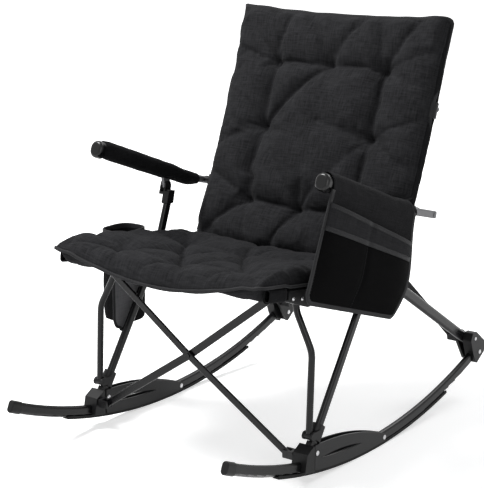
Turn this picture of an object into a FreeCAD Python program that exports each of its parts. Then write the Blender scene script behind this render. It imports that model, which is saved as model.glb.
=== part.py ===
import FreeCAD, Part
import math
import os

# Folding rocking chair, millimetres, +Z up.
# The origin is on the floor under the middle of both rockers, and the chair faces -Y.
# The right side is modelled, and the left side is its mirror image in the plane x = 0.

Vec = FreeCAD.Vector
ACROSS = Vec(1, 0, 0)

doc = FreeCAD.newDocument("RockingChair")
sheet = doc.addObject("Spreadsheet::Sheet", "Sizes")

DRIVING = [
    # Rockers
    ("rocker_spacing", 600, "between the rockers' middle planes"),
    ("rocker_radius", 1310, "radius of the surface that rolls on the floor"),
    ("rocker_reach", 507, "from the middle to each end of the rocker tube"),
    ("rocker_height", 26, "flat-oval section of the rocker"),
    ("rocker_width", 14, ""),
    ("tube_wall", 1.2, "wall of every tube"),
    ("strip_thickness", 4, "rubber under the rocker"),
    ("strip_wrap", 3, "how far the rubber climbs the rocker's sides"),
    ("strip_width", 16, ""),
    ("strip_gap", 0.3, "between the rubber and the rocker"),
    ("strip_reach", 345, ""),
    ("cap_front", 13, "cap in front of the rocker's end"),
    ("cap_grip", 15, "cap over the rocker's end"),
    ("cap_wall", 1.5, ""),
    # Foot and wing plates
    ("post_foot_y", -224, "lower end of the arm post"),
    ("post_foot_rise", 16.5, "above the top of the rocker"),
    ("foot_width", 38, ""),
    ("foot_length", 36, "saddle, along the rocker"),
    ("foot_socket", 24, "length of post held by the foot"),
    ("foot_shoulder", 14, "from the post's axis to the edge of its socket"),
    ("wing_thickness", 3, ""),
    ("wing_rear_y", 62, "rivet through the rocker"),
    ("wing_arch", 36, "height of the wing above its chord"),
    ("wing_slot_height", 9, ""),
    ("plate_gap", 0.1, "between a piece and the face it lies on"),
    # Arm post and its sliding collar
    ("post_height", 22, "flat-oval section of the post"),
    ("post_width", 13, ""),
    ("post_bend_y", -9.5, ""),
    ("post_bend_z", 390, ""),
    ("post_bend_radius", 200, ""),
    ("slider_rise", 47, "collar's middle above the post's end"),
    ("slider_length", 36, ""),
    ("slider_wall", 5.5, ""),
    ("slide_gap", 0.3, "between the collar and the post"),
    ("leg_offset", 28, "leg's pin in front of the collar's middle"),
    ("ear_radius", 9, ""),
    ("ear_thickness", 5, ""),
    # Front leg
    ("leg_diameter", 15, ""),
    ("leg_top_x", 255, "leg's upper end, inboard of the rail"),
    ("leg_straight", 185, "straight part above the collar"),
    ("leg_jog", 85, "height of the bent part"),
    ("leg_bend_radius", 60, ""),
    # Seat rail and hub
    ("rail_inset", 17.5, "rail's plane inboard of the rocker's plane"),
    ("rail_height", 26, "flat-oval section of the seat rail"),
    ("rail_width", 13, ""),
    ("rail_front_y", -355, ""),
    ("rail_front_z", 439.47, ""),
    ("rail_bend_y", 125, ""),
    ("rail_bend_z", 366, ""),
    ("rail_bend_radius", 260, ""),
    ("rear_pivot_forward", 42, "rail's pin in front of the rocker's end"),
    ("rear_pivot_rise", 32.5, "rail's pin above the rocker's end"),
    ("rail_tail", 14, "rail past its pin"),
    ("hub_y", -213, "leg's pin on the hub"),
    ("hub_drop", 19.7, "below the rail's axis"),
    ("hub_lap", 9, "hub above the rail's axis"),
    ("hub_wall", 3, "outside the rail"),
    ("hub_lug_thickness", 3.5, "behind the front brace's upper end"),
    ("lug_room", 1.3, "between that lug and the brace"),
    ("brace_top_y", -272, "front brace's upper rivet"),
    ("brace_top_drop", 1.8, "below the rail's axis"),
    ("sleeve_wall", 1.5, "fabric sleeves"),
    ("sleeve_gap", 0.1, ""),
    # Back
    ("back_inset", 17, "back tube's plane inboard of the rocker's plane"),
    ("back_diameter", 19, ""),
    ("back_pivot_rise", 25, "pin above the rail's bend"),
    ("back_top_y", 342, ""),
    ("back_top_z", 938, ""),
    ("back_bow", 12, "how far the back tube bows to the rear"),
    ("cheek_thickness", 4.9, ""),
    ("cheek_radius", 12, ""),
    ("back_hub_share", 0.65, "place of the rear brace along the back tube"),
    ("back_hub_length", 36, ""),
    ("back_hub_diameter", 29, ""),
    ("arm_slide_share", 0.25, "place of the armrest guide along the back tube"),
    ("arm_slide_length", 24, ""),
    # Armrest
    ("arm_outset", 13, "armrest's plane outboard of the rocker's plane"),
    ("arm_pivot_y", 38, ""),
    ("arm_pivot_z", 532, ""),
    ("arm_front_y", -192, "arm bar, front end"),
    ("arm_front_z", 651, ""),
    ("arm_bend_y", 60, ""),
    ("arm_bend_z", 556, ""),
    ("arm_rear_y", 254, ""),
    ("arm_rear_z", 505, ""),
    ("arm_bend_radius", 300, ""),
    ("arm_height", 18, "flat-oval section of the arm bar"),
    ("arm_width", 10, ""),
    ("arm_pad_height", 43, ""),
    ("arm_pad_width", 36, ""),
    ("arm_pad_lift", 4, "pad's middle above the bar's"),
    ("arm_pad_rear", 0.78, "share of the arm bar that the pad covers"),
    ("arm_pad_taper", 0.66, "rear height over front height"),
    ("arm_cap_length", 20, ""),
    ("lug_thickness", 8, "armrest's lug in the fork"),
    ("fork_radius", 11, ""),
    ("fork_cheek", 4, ""),
    # Links and braces
    ("lug_forward", 23, "front link's pin in front of the post's end"),
    ("lug_drop", 2, "and below it"),
    ("link_front_x", 261, "brace's pin in the front link"),
    ("link_rear_x", 250, "brace's pin in the rear link"),
    ("link_height", 18, ""),
    ("link_cheek", 3.3, ""),
    ("link_gap", 0.5, ""),
    ("brace_width", 18, ""),
    ("brace_thickness", 6, ""),
    ("brace_gap", 0.4, "between two crossed braces"),
    ("brace_front_top_x", 251.5, ""),
    ("brace_rear_top_x", 252, ""),
    ("brace_front_dip", 11, "front crossing below the straight line"),
    ("brace_bend_radius", 600, ""),
    # Rear bracket
    ("bracket_wall", 7, "plastic round the rocker's end"),
    ("bracket_cheek", 7, ""),
    ("bracket_radius", 17, ""),
    # Fasteners
    ("rivet_radius", 3, ""),
    ("rivet_head_radius", 5.5, ""),
    ("rivet_head_height", 2.2, ""),
    ("pin_radius", 4, "hinge pins"),
    ("pin_gap", 0.05, "running clearance of a hinge pin"),
    # Seat and back pads
    ("pad_gap", 0.4, "between a pad and its sleeve"),
    ("seat_post_gap", 4, "between the seat's side and the arm post"),
    ("seat_front_y", -377, ""),
    ("seat_rear_y", 92, ""),
    ("seat_edge", 16, "thickness of the bound edge at the front"),
    ("seat_side", 30, "thickness of the sides further back"),
    ("seat_side_flat", 50, "flat strip along each side, over the rail"),
    ("seat_sag", 50, ""),
    ("seat_thickness", 56, "in the middle"),
    ("back_half_width", 278, ""),
    ("back_edge", 18, ""),
    ("flap_width", 20, "sleeve's flap behind the pad's edge"),
    ("back_flat", 235, ""),
    ("back_sag", 24, "behind the edge, between the tubes"),
    ("back_thickness", 58, "in the middle"),
    ("back_over_top", 4, "pad above the tube's end"),
    ("back_pad_start", 7, "tube below the pad"),
    ("tuft_radius", 42, "ball that presses each tuft"),
    ("tuft_depth", 9, ""),
    # Organizer on the right armrest
    ("panel_thickness", 2.5, ""),
    ("panel_top", 342, "along the armrest"),
    ("panel_drop", 228, ""),
    ("pocket_drop", 27, "pocket's front top corner below the panel's top"),
    ("pocket_slope", 39, "and its rear one lower than that"),
    ("pocket_depth", 9, "room inside the pocket"),
    ("cloth_wall", 2, ""),
    # Cup pouch beside the left arm post
    ("pouch_clear", 14, "panel outboard of the post's plane"),
    ("pouch_width", 82, ""),
    ("pouch_length", 98, ""),
    ("pouch_height", 226, ""),
    ("pouch_bottom_z", 214, ""),
    ("pouch_front_y", -118, ""),
    ("pouch_corner", 26, ""),
    ("panel_front_y", -154, ""),
    ("panel_past_post", 8, "panel behind the post's axis"),
    ("strap_width", 24, ""),
    ("strap_low", 320, "along the post from its lower end"),
    ("strap_high", 440, ""),
]
for row, (alias, value, note) in enumerate(DRIVING, 1):
    sheet.set("A%d" % row, note)
    sheet.set("B%d" % row, str(value))
    sheet.setAlias("B%d" % row, alias)
doc.recompute()


def size(alias):
    return float(sheet.get(alias))


nodes = []


def add_node(label, item):
    item.Label = label
    nodes.append(item)
    return item


def feature(name, shape):
    item = doc.addObject("Part::Feature", name)
    item.Shape = shape
    return item


def cut_away(name, base, tools):
    # One boolean of the document: base without all the tools
    if len(tools) == 1:
        tool = tools[0]
    else:
        tool = doc.addObject("Part::MultiFuse", name + "_tools")
        tool.Shapes = tools
    item = doc.addObject("Part::Cut", name)
    item.Base = base
    item.Tool = tool
    return item


def joined(name, items, refine=True):
    item = doc.addObject("Part::MultiFuse", name)
    item.Shapes = items
    item.Refine = refine
    return item


def rod(name, centre, direction, length, radius):
    # Cylinder with its middle at centre and its radius tied to the sheet
    item = doc.addObject("Part::Cylinder", name)
    item.setExpression("Radius", radius)
    item.Height = length
    turn = FreeCAD.Rotation(Vec(0, 0, 1), direction)
    start = centre - Vec(direction).normalize() * (length / 2)
    item.Placement = FreeCAD.Placement(start, turn)
    return item


def block(name, low, length, width, height, place=None):
    item = doc.addObject("Part::Box", name)
    for prop, value in (("Length", length), ("Width", width), ("Height", height)):
        if isinstance(value, str):
            item.setExpression(prop, value)
        else:
            setattr(item, prop, value)
    here = FreeCAD.Placement(low, FreeCAD.Rotation())
    item.Placement = place.multiply(here) if place else here
    return item


def oval(centre, side, up, wide, high):
    # Flat oval: two straight sides and two round ends, each of two quarter arcs
    if wide > high:
        return oval(centre, up, side, high, wide)
    half = wide / 2
    reach = (high - wide) / 2
    slant = half * math.sqrt(0.5)

    def at(a, b):
        return centre + side * a + up * b

    def end(sign):
        first = Part.Arc(at(sign * half, sign * reach), at(sign * slant, sign * (reach + slant)),
                         at(0, sign * (reach + half)))
        second = Part.Arc(at(0, sign * (reach + half)), at(-sign * slant, sign * (reach + slant)),
                          at(-sign * half, sign * reach))
        return [first.toShape(), second.toShape()]

    edges = end(1)
    if reach > 1e-6:
        edges.append(Part.LineSegment(at(-half, reach), at(-half, -reach)).toShape())
    edges += end(-1)
    if reach > 1e-6:
        edges.append(Part.LineSegment(at(half, -reach), at(half, reach)).toShape())
    return Part.Wire(edges)


def rounded_path(points, radius):
    # Straight runs joined by tangent arcs of one radius
    edges = []
    start = points[0]
    for before, corner, after in zip(points, points[1:], points[2:]):
        back = (before - corner).normalize()
        ahead = (after - corner).normalize()
        half_turn = (math.pi - back.getAngle(ahead)) / 2
        trim = radius * math.tan(half_turn)
        middle = (back + ahead).normalize()
        depth = radius / math.cos(half_turn) - radius
        edges.append(Part.LineSegment(start, corner + back * trim).toShape())
        edges.append(Part.Arc(corner + back * trim, corner + middle * depth, corner + ahead * trim).toShape())
        start = corner + ahead * trim
    edges.append(Part.LineSegment(start, points[-1]).toShape())
    return Part.Wire(edges)


def swept(path, start, along, wide, high, side=ACROSS):
    up = side.cross(along).normalize()
    return path.makePipeShell([oval(start, side, up, wide, high)], True, False)


def tube(points, radius, wide, high, side=ACROSS, wall=None):
    # Bent flat-oval or round tube; solid where no wall is given
    path = rounded_path(points, radius) if len(points) > 2 else Part.Wire(
        [Part.LineSegment(points[0], points[1]).toShape()])
    along = (points[1] - points[0]).normalize()
    solid = swept(path, points[0], along, wide, high, side)
    if wall is None:
        return solid
    return solid.cut(swept(path, points[0], along, wide - 2 * wall, high - 2 * wall, side))


def plate(name, edges, x_from, thickness, holes=()):
    # Flat piece in a side plane: an outline in (y, z) padded along +X
    body = doc.addObject("PartDesign::Body", name)
    plane = [f for f in body.Origin.OriginFeatures if f.Role == "YZ_Plane"][0]
    sketch = body.newObject("Sketcher::SketchObject", name + "_outline")
    sketch.AttachmentSupport = (plane, [""])
    sketch.MapMode = "FlatFace"
    sketch.AttachmentOffset = FreeCAD.Placement(Vec(0, 0, x_from), FreeCAD.Rotation())
    for edge in edges:
        sketch.addGeometry(edge, False)
    for y, z, radius in holes:
        sketch.addGeometry(Part.Circle(Vec(y, z, 0), Vec(0, 0, 1), radius), False)
    pad = body.newObject("PartDesign::Pad", name + "_pad")
    pad.Profile = sketch
    pad.setExpression("Length", thickness)
    return body


def outline(points, radius):
    # Closed outline in the sketch plane with rounded corners
    corners = [Vec(y, z, 0) for y, z in points]
    count = len(corners)
    trims = []
    for i, corner in enumerate(corners):
        back = (corners[i - 1] - corner).normalize()
        ahead = (corners[(i + 1) % count] - corner).normalize()
        half_turn = (math.pi - back.getAngle(ahead)) / 2
        middle = (back + ahead).normalize()
        trim = radius * math.tan(half_turn)
        depth = radius / math.cos(half_turn) - radius
        trims.append((corner + back * trim, corner + middle * depth, corner + ahead * trim))
    edges = []
    for i, (enter, middle, leave) in enumerate(trims):
        edges.append(Part.Arc(enter, middle, leave))
        edges.append(Part.LineSegment(leave, trims[(i + 1) % count][0]))
    return edges


def rivet(centre, direction, grip):
    # Shank and two domed heads, turned about the rivet's own axis
    shank = size("rivet_radius")
    head = size("rivet_head_radius")
    high = size("rivet_head_height")
    rim = high * 0.35
    end = grip / 2
    profile = [Vec(0, 0, -end - high), Vec(head * 0.6, 0, -end - high), Vec(head, 0, -end - rim),
               Vec(head, 0, -end), Vec(shank, 0, -end), Vec(shank, 0, end), Vec(head, 0, end),
               Vec(head, 0, end + rim), Vec(head * 0.6, 0, end + high), Vec(0, 0, end + high)]
    face = Part.Face(Part.makePolygon(profile + [profile[0]]))
    solid = face.revolve(Vec(0, 0, 0), Vec(0, 0, 1), 360)
    solid.Placement = FreeCAD.Placement(centre, FreeCAD.Rotation(Vec(0, 0, 1), direction))
    return solid


# Key places in the right side plane, as (y, z)
rocker_x = size("rocker_spacing") / 2
rail_x = rocker_x - size("rail_inset")
back_x = rocker_x - size("back_inset")
arm_x = rocker_x + size("arm_outset")
ground_radius = size("rocker_radius")
rocker_mid = ground_radius - size("strip_thickness") - size("rocker_height") / 2
rocker_top = rocker_mid - size("rocker_height") / 2
skirt_radius = rocker_mid + size("rocker_height") / 2 - size("strip_wrap") - 0.5


def on_arc(y, radius):
    return ground_radius - math.sqrt(radius * radius - y * y)


def spot(x, place):
    return Vec(x, place[0], place[1])


def moved(place, dy, dz):
    return (place[0] + dy, place[1] + dz)


def unit(start, end):
    length = math.hypot(end[0] - start[0], end[1] - start[1])
    return ((end[0] - start[0]) / length, (end[1] - start[1]) / length)


post_foot = (size("post_foot_y"), on_arc(size("post_foot_y"), rocker_top) + size("post_foot_rise"))
post_bend = (size("post_bend_y"), size("post_bend_z"))
arm_pivot = (size("arm_pivot_y"), size("arm_pivot_z"))
post_way = unit(post_foot, post_bend)
slider_mid = moved(post_foot, post_way[0] * size("slider_rise"), post_way[1] * size("slider_rise"))
leg_pin = moved(slider_mid, -size("leg_offset"), 0)
front_lug = moved(post_foot, -size("lug_forward"), -size("lug_drop"))
rocker_end = (size("rocker_reach"), on_arc(size("rocker_reach"), rocker_mid))
rear_pin = moved(rocker_end, -size("rear_pivot_forward"), size("rear_pivot_rise"))
rail_front = (size("rail_front_y"), size("rail_front_z"))
rail_bend = (size("rail_bend_y"), size("rail_bend_z"))
rail_slope = (rail_bend[1] - rail_front[1]) / (rail_bend[0] - rail_front[0])
rail_way = unit(rail_front, rail_bend)
rail_tail_way = unit(rail_bend, rear_pin)


def rail_z(y):
    return rail_front[1] + rail_slope * (y - rail_front[0])


hub_pin = (size("hub_y"), rail_z(size("hub_y")) - size("hub_drop"))
brace_top = (size("brace_top_y"), rail_z(size("brace_top_y")) - size("brace_top_drop"))
back_pin = moved(rail_bend, 0, size("back_pivot_rise"))
back_top = (size("back_top_y"), size("back_top_z"))

# The back tube's arc, from its pin to its top
back_chord = math.dist(back_pin, back_top)
back_radius = (back_chord ** 2 / 4 + size("back_bow") ** 2) / (2 * size("back_bow"))
back_half_angle = math.asin(back_chord / 2 / back_radius)
back_lean = unit(back_pin, back_top)


def back_at(share, forward=0.0):
    # Place and upward direction on the back tube's arc, moved to the front by forward
    angle = (2 * share - 1) * back_half_angle
    radius = back_radius - forward
    rise = radius * math.sin(angle)
    bow = radius * math.cos(angle) - back_radius * math.cos(back_half_angle)
    middle = ((back_pin[0] + back_top[0]) / 2, (back_pin[1] + back_top[1]) / 2)
    place = (middle[0] + back_lean[0] * rise + back_lean[1] * bow,
             middle[1] + back_lean[1] * rise - back_lean[0] * bow)
    way = (back_lean[0] * math.cos(angle) - back_lean[1] * math.sin(angle),
           back_lean[1] * math.cos(angle) + back_lean[0] * math.sin(angle))
    return place, way


back_bow_way = back_radius * math.cos(back_half_angle)
back_centre = Vec(0, (back_pin[0] + back_top[0]) / 2 - back_lean[1] * back_bow_way,
                  (back_pin[1] + back_top[1]) / 2 + back_lean[0] * back_bow_way)


def back_turned(section, share_from, share_to):
    # Solid that a closed section at share_from leaves as it turns along the back tube's arc
    turn = 2 * (share_to - share_from) * back_half_angle
    return Part.Face(section).revolve(back_centre, ACROSS, math.degrees(turn))


def back_start(share):
    place, way = back_at(share)
    along = spot(0, way)
    return spot(back_x, place), ACROSS.cross(along).normalize()


def back_bar_solid(share_from, share_to, diameter):
    start, up = back_start(share_from)
    return back_turned(oval(start, ACROSS, up, diameter, diameter), share_from, share_to)


def back_tube_part(share_from, share_to, outer, inner):
    return back_bar_solid(share_from, share_to, outer).cut(back_bar_solid(share_from, share_to, inner))


def rocker_start(radius, y_from):
    # Place on an arc about the rocker's centre, and the direction to that centre
    place = spot(rocker_x, (y_from, on_arc(y_from, radius)))
    return place, (spot(rocker_x, (0, ground_radius)) - place).normalize()


def rocker_turned(section, radius, y_from, y_to):
    turn = math.asin(y_to / radius) - math.asin(y_from / radius)
    return Part.Face(section).revolve(spot(0, (0, ground_radius)), ACROSS, math.degrees(turn))


def rocker_bar(y_from, y_to, wide, high):
    start, up = rocker_start(rocker_mid, y_from)
    return rocker_turned(oval(start, ACROSS, up, wide, high), rocker_mid, y_from, y_to)


link_gap = size("link_gap")
brace_t = size("brace_thickness")
brace_w = size("brace_width")
layer = size("brace_gap") / 2


def leaning(pin, top):
    # Plane of a pair of crossed braces: x across, z from the pin to the top
    angle = math.degrees(math.atan2(pin[0] - top[0], top[1] - pin[1]))
    return FreeCAD.Placement(Vec(0, pin[0], pin[1]), FreeCAD.Rotation(ACROSS, angle))


# Rocker, its rubber strip and its front cap
wall = size("tube_wall")
reach = size("rocker_reach")
rocker_wide = size("rocker_width")
rocker_high = size("rocker_height")
seat_gap = size("plate_gap")
rocker_solid = feature("rocker_solid", rocker_bar(-reach, reach, rocker_wide, rocker_high))
rocker_room = feature("rocker_room", rocker_bar(-reach - seat_gap, reach + seat_gap, rocker_wide + 2 * seat_gap,
                                                rocker_high + 2 * seat_gap))
rocker_bore = feature("rocker_bore", rocker_bar(-reach, reach, rocker_wide - 2 * wall, rocker_high - 2 * wall))
wing_pin = (size("wing_rear_y"), on_arc(size("wing_rear_y"), rocker_mid))
wing_front_y = post_foot[0] + size("foot_shoulder") * 0.6
wing_front_pin = (wing_front_y + 8, on_arc(wing_front_y + 8, rocker_top) + 16)
end_rivet = (reach - 14, on_arc(reach - 14, rocker_mid))
shank_span = size("foot_width") + 30
wing_shank = rod("wing_shank", spot(rocker_x, wing_pin), ACROSS, shank_span, "Sizes.rivet_radius")
end_shank = rod("end_shank", spot(rocker_x, end_rivet), ACROSS, shank_span, "Sizes.rivet_radius")
add_node("rocker_right", cut_away("rocker", rocker_solid, [rocker_bore, wing_shank, end_shank]))

strip_radius = ground_radius - (size("strip_thickness") + size("strip_wrap")) / 2
strip_start, strip_up = rocker_start(strip_radius, -size("strip_reach"))
strip_gap = size("strip_gap")
strip_room = feature("strip_room", rocker_bar(-reach, reach, rocker_wide + 2 * strip_gap, rocker_high + 2 * strip_gap))
strip_half = (size("strip_thickness") + size("strip_wrap")) / 2
strip_corners = [strip_start + ACROSS * (a * size("strip_width") / 2) + strip_up * (b * strip_half)
                 for a, b in ((-1, -1), (1, -1), (1, 1), (-1, 1), (-1, -1))]
strip_solid = feature("strip_solid", rocker_turned(Part.makePolygon(strip_corners), strip_radius,
                                                   -size("strip_reach"), size("strip_reach")))
add_node("rocker_strip_right", cut_away("rocker_strip", strip_solid, [strip_room]))

cap_wall = size("cap_wall")
cap_solid = feature("cap_solid", rocker_bar(-reach - size("cap_front"), -reach + size("cap_grip"),
                                            rocker_wide + 2 * cap_wall, rocker_high + 2 * cap_wall))
cap_nose = max(cap_solid.Shape.Faces, key=lambda f: -f.CenterOfMass.y)
cap_round = feature("cap_round", cap_solid.Shape.makeFillet(cap_wall * 2, cap_nose.Edges))
add_node("rocker_cap_right", cut_away("rocker_cap", cap_round, [rocker_room]))

# Front foot: a saddle over the rocker and a socket for the post between the wing plates
post_wide = size("post_width")
post_high = size("post_height")
post_top = moved(arm_pivot, 0, -size("fork_radius"))
post_points = [spot(rocker_x, p) for p in (post_foot, post_bend, post_top)]
post_solid = feature("post_solid", tube(post_points, size("post_bend_radius"), post_wide, post_high))
foot_half = size("foot_width") / 2
saddle_rear = post_foot[0] - 6
saddle_front = saddle_rear - size("foot_length")
socket_end = moved(post_foot, post_way[0] * size("foot_socket"), post_way[1] * size("foot_socket"))
shoulder = size("foot_shoulder")
socket_front = moved(socket_end, -post_way[1] * shoulder, post_way[0] * shoulder)
socket_rear = moved(socket_end, post_way[1] * shoulder, -post_way[0] * shoulder)
saddle_points = [(saddle_front, on_arc(saddle_front, skirt_radius)),
                 (saddle_rear, on_arc(saddle_rear, skirt_radius)),
                 (saddle_rear, socket_front[1] - 4),
                 (saddle_front + 8, post_foot[1] + 8)]
saddle = plate("foot_saddle", outline(saddle_points, 3), rocker_x - foot_half, "Sizes.foot_width")
socket_base = on_arc(socket_rear[0], rocker_mid)
socket_points = [(saddle_rear - 10, socket_base), (socket_rear[0], socket_base), socket_rear, socket_front,
                 (saddle_rear - 10, post_foot[1] + 4)]
socket_body = plate("foot_socket_block", outline(socket_points, 2),
                    rocker_x - rocker_wide / 2, "Sizes.rocker_width")
lug_boss = rod("foot_lug", spot(rocker_x - foot_half, front_lug), ACROSS, 4, "Sizes.ear_radius")
wing_front_shank = rod("wing_front_shank", spot(rocker_x, wing_front_pin), ACROSS, shank_span,
                       "Sizes.rivet_radius")
lug_pin_from = size("link_front_x") + size("brace_width") / 2 + size("link_gap")
lug_pin_length = rocker_x - foot_half / 2 - lug_pin_from
lug_pin = rod("lug_pin", spot(lug_pin_from + lug_pin_length / 2, front_lug), ACROSS, lug_pin_length,
              "Sizes.pin_radius")
foot_solid = joined("foot_solid", [saddle, socket_body, lug_boss])
add_node("front_foot_right", cut_away("front_foot", foot_solid,
                                      [rocker_room, post_solid, wing_front_shank, lug_pin]))

# Wing plates on both faces of the rocker, with a lens-shaped slot above it
wing_top = (wing_front_y, socket_rear[1] + 4)
wing_middle_y = (wing_front_y + wing_pin[0]) / 2
wing_chord_z = (wing_top[1] + wing_pin[1]) / 2
wing_bottom = (wing_front_y, on_arc(wing_front_y, skirt_radius))
wing_rear_low = (wing_pin[0], on_arc(wing_pin[0], skirt_radius))
wing_end = wing_pin[1] - wing_rear_low[1]
wing_rear_high = moved(wing_pin, 0, wing_end)


def flat(place):
    return Vec(place[0], place[1], 0)


def arc_through(start, middle, end):
    return Part.Arc(flat(start), flat(middle), flat(end))


wing_edges = [
    arc_through(wing_bottom, (wing_middle_y, on_arc(wing_middle_y, skirt_radius)), wing_rear_low),
    arc_through(wing_rear_low, moved(wing_pin, wing_end, 0), wing_rear_high),
    arc_through(wing_rear_high, (wing_middle_y, wing_chord_z + size("wing_arch") / 2), wing_top),
    Part.LineSegment(flat(wing_top), flat(wing_bottom)),
]
slot_front = wing_front_y + 22
slot_rear = wing_pin[0] - 95
slot_middle = (slot_front + slot_rear) / 2
slot_low = rocker_top - 3
slot_ends = [(y, on_arc(y, slot_low)) for y in (slot_front, slot_middle, slot_rear)]
slot_edges = [arc_through(*slot_ends),
              arc_through(slot_ends[2], moved(slot_ends[1], 0, size("wing_slot_height")), slot_ends[0])]
wing_holes = [(p[0], p[1], size("rivet_radius")) for p in (wing_pin, wing_front_pin)]
wing_face = rocker_wide / 2 + size("plate_gap")
wing_outer_x = rocker_x + wing_face
wing_inner_x = rocker_x - wing_face - size("wing_thickness")
for label, x_from in (("foot_wing_outer", wing_outer_x), ("foot_wing_inner", wing_inner_x)):
    wing = plate(label, wing_edges + slot_edges, x_from, "Sizes.wing_thickness", wing_holes)
    add_node(label + "_right", wing)

# Arm post and the fork on its top
add_node("arm_post_right", feature("arm_post", tube(post_points, size("post_bend_radius"),
                                                    post_wide, post_high, wall=wall)))
fork_gap = size("link_gap")
fork_inner = arm_x - size("lug_thickness") / 2 - fork_gap
fork_outer = arm_x + size("lug_thickness") / 2 + fork_gap
cheek = size("fork_cheek")
fork_r = size("fork_radius")
neck_z = post_top[1] - 30
neck_y = post_bend[0] + (neck_z - post_bend[1]) * (post_top[0] - post_bend[0]) / (post_top[1] - post_bend[1])
fork_points = [(neck_y - 12.5, neck_z), (neck_y + 12.5, neck_z), moved(arm_pivot, fork_r, 0),
               moved(arm_pivot, fork_r * 0.7, fork_r), moved(arm_pivot, -fork_r * 0.7, fork_r),
               moved(arm_pivot, -fork_r, 0)]
stem_left = rocker_x - post_wide / 2 - 2.5
fork_width = fork_outer + cheek - stem_left
fork_block = feature("fork_block", Part.Face(Part.Wire([e.toShape() for e in outline(fork_points, 4)])).extrude(
    Vec(0, 0, fork_width)))
fork_block.Placement = FreeCAD.Placement(Vec(stem_left, 0, 0), FreeCAD.Rotation(Vec(1, 1, 1), 120))
fork_room = block("fork_room", Vec(fork_inner, arm_pivot[0] - 40, post_top[1] - 2),
                  fork_outer - fork_inner, 80, 60)
fork_side = block("fork_side", Vec(stem_left - 1, arm_pivot[0] - 40, post_top[1]),
                  fork_inner - cheek - stem_left + 1, 80, 60)
fork_under = block("fork_under", Vec(rocker_x + post_wide / 2 + 2.5, arm_pivot[0] - 60, neck_z - 5),
                   60, 120, post_top[1] - neck_z - 3)
fork_shell = cut_away("fork_shell", fork_block, [fork_room, fork_side, fork_under, post_solid])
fork_pin = rod("fork_pin", spot((fork_inner + fork_outer) / 2, arm_pivot), ACROSS,
               fork_outer - fork_inner + 2 * cheek, "Sizes.pin_radius")
add_node("arm_fork_right", joined("arm_fork", [fork_shell, fork_pin]))

# Sliding collar with two ears for the leg
collar_way = spot(0, post_way)
collar_half = size("slider_length") / 2
collar_mid = spot(rocker_x, slider_mid)
collar_ends = [collar_mid - collar_way * collar_half, collar_mid + collar_way * collar_half]
collar_wall = size("slider_wall")
collar = feature("collar", tube(collar_ends, 0, post_wide + 2 * collar_wall, post_high + 2 * collar_wall))
slide_gap = size("slide_gap")
collar_bore = feature("collar_bore", tube([collar_ends[0] - collar_way, collar_ends[1] + collar_way], 0,
                                          post_wide + 2 * slide_gap, post_high + 2 * slide_gap))
leg_diameter = size("leg_diameter")
ear_span = leg_diameter + 2 * size("link_gap") + 2 * size("ear_thickness")
ear = rod("ear", spot(rocker_x, leg_pin), ACROSS, ear_span, "Sizes.ear_radius")
ear_r = size("ear_radius")
ear_web = block("ear_web", Vec(rocker_x - ear_span / 2, leg_pin[0], leg_pin[1] - ear_r),
                ear_span, size("leg_offset"), 2 * ear_r)
leg_room = block("leg_room", Vec(rocker_x - leg_diameter / 2 - size("link_gap"), leg_pin[0] - 20, leg_pin[1] - 20),
                 leg_diameter + 2 * size("link_gap"), 20 + ear_r, 60)
slider_body = joined("slider_body", [collar, ear, ear_web])
slider_open = cut_away("slider_open", slider_body, [collar_bore, leg_room])
slider_pin = rod("slider_pin", spot(rocker_x, leg_pin), ACROSS, ear_span, "Sizes.rivet_radius")
add_node("post_slider_right", joined("post_slider", [slider_open, slider_pin]))

# Front leg: upright at the collar, then bent inward to the hub
leg_way = spot(0, unit(leg_pin, hub_pin))
leg_length = math.dist(leg_pin, hub_pin)
leg_top_x = size("leg_top_x")
leg_base = spot(rocker_x, leg_pin)
leg_shift = Vec(leg_top_x - rocker_x, 0, 0)
leg_straight = size("leg_straight")
leg_points = [leg_base + leg_way * (leg_diameter / 2 - 1), leg_base + leg_way * leg_straight,
              leg_base + leg_shift + leg_way * (leg_straight + size("leg_jog")),
              leg_base + leg_shift + leg_way * (leg_length - size("ear_radius") + 2)]
leg_bar = feature("leg_bar", tube(leg_points, size("leg_bend_radius"), leg_diameter, leg_diameter))
leg_eye = rod("leg_eye", leg_base, ACROSS, leg_diameter, "Sizes.leg_diameter / 2 + 1")
leg_top_eye = rod("leg_top_eye", spot(leg_top_x, hub_pin), ACROSS, leg_diameter, "Sizes.ear_radius")
leg_head = rod("leg_head", spot(leg_top_x - leg_diameter / 2, hub_pin), ACROSS,
               2 * size("rivet_head_height"), "Sizes.rivet_head_radius")
leg_hole = rod("leg_hole", leg_base, ACROSS, 2 * leg_diameter, "Sizes.rivet_radius + Sizes.pin_gap")
leg_ring = cut_away("leg_ring", leg_eye, [leg_hole])
add_node("front_leg_right", joined("front_leg", [leg_bar, leg_ring, leg_top_eye, leg_head], refine=False))

# Seat rail, from inside the front of the seat to its pin in the rear bracket
rail_wide = size("rail_width")
rail_high = size("rail_height")
rail_end = moved(rear_pin, rail_tail_way[0] * size("rail_tail"), rail_tail_way[1] * size("rail_tail"))
rail_points = [spot(rail_x, p) for p in (rail_front, rail_bend, rail_end)]
rail_solid = feature("rail_solid", tube(rail_points, size("rail_bend_radius"), rail_wide, rail_high))
rail_tube = feature("rail_tube", tube(rail_points, size("rail_bend_radius"), rail_wide, rail_high, wall=wall))
rail_hole = rod("rail_hole", spot(rail_x, rear_pin), ACROSS, 2 * rail_wide, "Sizes.pin_radius + Sizes.pin_gap")
add_node("seat_rail_right", cut_away("seat_rail", rail_tube, [rail_hole]))

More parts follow.
